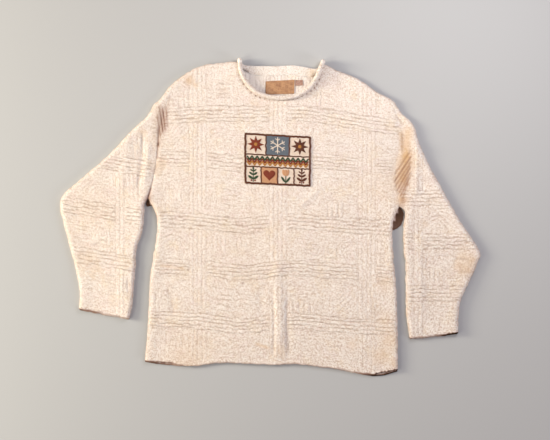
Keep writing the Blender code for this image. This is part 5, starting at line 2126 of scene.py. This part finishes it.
@dataclass
class ChestPatch:
    """The rectangle of plain twill sewn on the chest, worked with simple folk motifs."""

    front: FinePanel  # the panel that it lies on
    wide: float = 154.0  # its width before it was sewn on
    high: float = 118.0  # its height
    thick: float = 0.9  # its thickness
    clear: float = 0.35  # how far it lies off the front

    ROW_LINES = (41.0, 69.0)
    TOP_COLUMNS = (50.0, 104.0)
    FOOT_COLUMNS = (39.0, 77.0, 115.0)
    INSET = 2.6
    EDGE_DOWN = 0.35  # how far its edge is pulled down

    def placed(self, points: Array) -> Array:
        """Puts points of the flat patch where they lie on the front.

        Args:
            points: points of the flat patch, with heights.

        Returns:
            The same where they lie.
        """
        s, t = points[:, :1] / self.wide, points[:, 1:2] / self.high
        low_left, low_right, high_right, high_left = np.array(CHEST_PATCH, float)
        low = low_left + s * (low_right - low_left)
        high = high_left + s * (high_right - high_left)
        plan = low + t * (high - low)
        ground = self.front.lie.underside(plan) + WALL + self.clear + self.thick
        return np.column_stack([plan, ground + points[:, 2]])

    def wavy(self, path: Array, seed: int) -> Array:
        """A path drawn with an unsteady hand."""
        shift = [0.7 * uneven(path, 9.0, seed + k) + 0.35 * uneven(path, 4.0, seed + k + 7) for k in (0, 1)]
        return path + np.column_stack(shift)

    def frame_lines(self, work: Needlework) -> None:
        """Stitches the border and the lines between the pictures.

        Args:
            work: what is stitched so far.
        """
        low, right, top = self.INSET, self.wide - self.INSET, self.high - self.INSET
        border = self.wavy(once_round(rectangle(low, low, right, top, 1.5)), 60)
        work.add(Thread.BROWN, cord(border, 4.6, 1.2, closed=True))
        inner = [straight(low, y, right, y) for y in self.ROW_LINES]
        inner += [straight(x, self.ROW_LINES[1], x, top) for x in self.TOP_COLUMNS]
        inner += [straight(x, low, x, self.ROW_LINES[0]) for x in self.FOOT_COLUMNS]
        for k, line in enumerate(inner):
            work.add(Thread.BROWN, cord(self.wavy(line, 80 + 3 * k), 3.0, 1.0))

    def motifs(self, work: Needlework) -> None:
        """Stitches the simple motifs, one to a field, each field with its ground and its box.

        Args:
            work: what is stitched so far.
        """
        brown, green, rust, slate, gold, peach, cream = Thread
        row = (6.0, 148.0)
        fields = (
            (None, (4.0, 70.0, 49.0, 115.0), work.star, (rust, 26.5, 92.5, 20.0, gold)),
            (slate, (51.0, 70.0, 103.0, 115.0), work.snowflake, (cream, 77.0, 92.5, 19.0)),
            (None, (105.0, 70.0, 151.0, 115.0), work.star, (brown, 128.0, 92.5, 20.0, gold)),
            (None, (4.0, 42.0, 151.0, 68.0), work.zigzag, (green, *row, 61.0, 8.5, 12)),
            (None, (4.0, 42.0, 151.0, 68.0), work.zigzag, (rust, *row, 55.0, 8.5, 12)),
            (None, (4.0, 42.0, 151.0, 68.0), work.zigzag, (gold, *row, 49.0, 8.5, 12)),
            (None, (4.0, 4.0, 38.0, 40.0), work.sprig, (green, rust, 20.8, 22.0, 34.0)),
            (peach, (40.0, 4.0, 76.0, 40.0), work.heart, (rust, 58.0, 23.5, 28.0)),
            (None, (78.0, 4.0, 114.0, 40.0), work.tulip, (peach, green, 96.0, 21.5, 34.0)),
            (None, (116.0, 4.0, 151.0, 40.0), work.sprig, (brown, rust, 133.0, 22.0, 34.0)),
        )
        for ground, box, motif, how in fields:
            work.ground(ground, box)
            motif(*how)


    def make(self) -> None:
        """Makes the patch's cloth, then its threads, one piece to a colour."""
        outline = self.wavy(once_round(rectangle(0.0, 0.0, self.wide, self.high, 3.0)), 90)
        plan, triangles = filled(outline, grid_inside(outline, 3.0, 1.5))
        edge = np.where(np.arange(len(plan)) < len(outline), -self.EDGE_DOWN, 0.0)
        flat, faces = Shell.wall(len(outline), (plan, triangles, edge),
                                 (plan, triangles, -self.thick)).joined()
        twill = WovenTape("cream cotton twill", "#DDCCBC", "#C8B29C", share=0.6, worn="#B99F86", wear=0.4,
                          thread=1.4, roughness=0.85).material()
        cloth = make_piece("patch_cloth", self.placed(flat), faces,
                           Dressing(twill, "chest_patch", True, flat[:, :2]))
        work = Needlework()
        self.frame_lines(work)
        self.motifs(work)
        for thread in work.parts:
            points, faces = work.joined(thread)
            make_piece(f"patch_thread_{thread.name.lower()}", self.placed(points), faces,
                       Dressing(thread.material(), "chest_patch", False, points[:, :2]))


@dataclass
class Tape:
    """A small woven label stitched on the inside of the back."""

    name: str  # the CAD node that it stands for
    corners: Places  # its corners, counterclockwise from the lower left
    weave: Material
    stitch: Material  # the material of the thread that holds it
    lift: float = 0.5  # how far a loose corner stands up

    THICK = 0.4
    SEWN_IN = 1.2  # how far in the thread runs

    def placed(self, points: Array) -> Array:
        """Puts points of the unit square where they lie on the back.

        Args:
            points: points of the unit square, with heights.

        Returns:
            The same where they lie.
        """
        s, t = points[:, :1], points[:, 1:2]
        low_left, low_right, high_right, high_left = np.array(self.corners, float)
        plan = (1 - t) * ((1 - s) * low_left + s * low_right) + t * ((1 - s) * high_left + s * high_right)
        ripple = 0.5 * self.lift * (1.0 + np.clip(uneven(plan, 26.0, 95), -1.0, 1.0))
        return np.column_stack([plan, LIE + ripple + points[:, 2]])

    def make(self) -> None:
        """Makes the tape, and the thread along its edges."""
        (x0, y0), (x1, y1) = np.array(self.corners, float)[[0, 2]]
        wide, high = x1 - x0, y1 - y0
        scale = (1 / wide, 1 / high)
        sides = rectangle(0.0, 0.0, wide, high)
        outline = once_round(sides)
        plan, triangles = filled(outline, grid_inside(outline, 2.0, 1.0))
        flat, faces = Shell.wall(len(outline), (plan * scale, triangles, self.THICK),
                                 (plan * scale, triangles, 0.0)).joined()
        tape = make_piece(f"{self.name}_tape", self.placed(flat), faces,
                          Dressing(self.weave, self.name, True, flat[:, :2] * (wide, high)))
        work = Needlework()
        for side in sides[1:]:
            inset = np.clip(side, self.SEWN_IN, (wide - self.SEWN_IN, high - self.SEWN_IN))
            for a, b in zip(inset[:-1:2], inset[1::2]):
                work.add(Thread.GOLD, cord(np.array([a, (a + b) / 2, b]), 0.9, 0.4))
        points, faces = work.joined(Thread.GOLD)
        points = points * (*scale, 1.0) + (0.0, 0.0, self.THICK)
        make_piece(f"{self.name}_stitches", self.placed(points), faces,
                   Dressing(self.stitch, self.name, False, points[:, :2]))


@dataclass(frozen=True)
class Studio:
    """A pale table top seen from straight above, with soft light low from both sides and from overhead."""

    # the point of the table in the middle of the picture, in metres
    centre: tuple[float, float] = (0.01105, -0.00675)
    distance: float = 2.4  # the camera's height above the cloth
    width: float = 1.265  # how much of the table the picture is wide
    sensor: float = 36.0  # the camera's sensor width in millimetres

    TABLE_REACH = 6.0
    TABLE_CLEAR = 0.0004  # how far the table lies under the garment
    # Square soft lights that face the middle of the table: name, place, size, power and tint
    LIGHTS = (("low_window_light", (-3.07, 0.53, 0.95), 0.8, 143.0, "#FFF8E3"),
              ("low_fill_light", (4.0, -1.5, 1.5), 1.0, 57.5, "#FFFFFF"),
              ("high_light", (-2.04, -0.62, 1.48), 0.9, 25.9, "#FFFEE9"),
              ("head_light", (0.57, 0.66, 0.83), 0.5, 6.5, "#FDFDFF"))

    def make(self) -> None:
        """Builds the camera, the table, the lights and the air's own light."""
        scene = bpy.context.scene
        camera = bpy.data.objects.new("camera", bpy.data.cameras.new("camera"))
        camera.location = (*self.centre, self.distance + 0.01)
        camera.data.sensor_width = self.sensor
        camera.data.lens = self.sensor * self.distance / self.width
        scene.collection.objects.link(camera)
        scene.camera = camera
        scene.view_settings.view_transform = "Standard"

        mesh = bpy.data.meshes.new("table_top")
        far = self.TABLE_REACH
        mesh.from_pydata([(-far, -far, 0), (far, -far, 0), (far, far, 0), (-far, far, 0)], [],
                         [(0, 1, 2, 3)])
        mesh.materials.append(Board().material())
        table = bpy.data.objects.new("table_top", mesh)
        table.location.z = -self.TABLE_CLEAR
        scene.collection.objects.link(table)

        for name, place, size, power, tint in self.LIGHTS:
            lamp = bpy.data.lights.new(name, "AREA")
            lamp.size, lamp.energy, lamp.color = size, power, linear(tint)[:3]
            stand = bpy.data.objects.new(name, lamp)
            stand.location = place
            stand.rotation_euler = (-Vector(place)).to_track_quat("-Z", "Y").to_euler()
            scene.collection.objects.link(stand)
        world = bpy.data.worlds.new("room")
        world.use_nodes = True
        set_inputs(world.node_tree, world.node_tree.nodes["Background"],
                   {"Color": linear("#FDEFFF"), "Strength": 0.32})
        scene.world = world


def main() -> None:
    """Loads the frame, then builds the studio and each piece of the garment."""
    logging.basicConfig(level=logging.INFO, format="%(name)s %(message)s")
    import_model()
    Studio().make()
    cotton = SlubCotton("slub cotton jersey").material()
    neckband = Neckband(SlubCotton("slub cotton rolled jersey", wale=3.2, course=2.6).material())
    body = Body(cotton, {part: neckband.edge_of(part) for part in ("front", "back")})
    body.make_back()
    body.make_front()
    ChestPatch(body.front).make()
    stitch = Thread.GOLD.material()
    label = WovenTape("brown woven label tape", "#BC8E64", "#8E623F", share=0.5, worn="#7A4830", wear=0.6)
    tab = WovenTape("speckled woven size tape", "#96685A", "#DFC6AE", share=0.7, worn="#8A5A48", wear=0.6)
    Tape("neck_label", NECK_LABEL, label.material(), stitch).make()
    Tape("size_tab", SIZE_TAB, tab.material(), stitch).make()
    for sleeve in both_sleeves(cotton):
        sleeve.make()
    neckband.make()


if __name__ == "__main__":
    main()
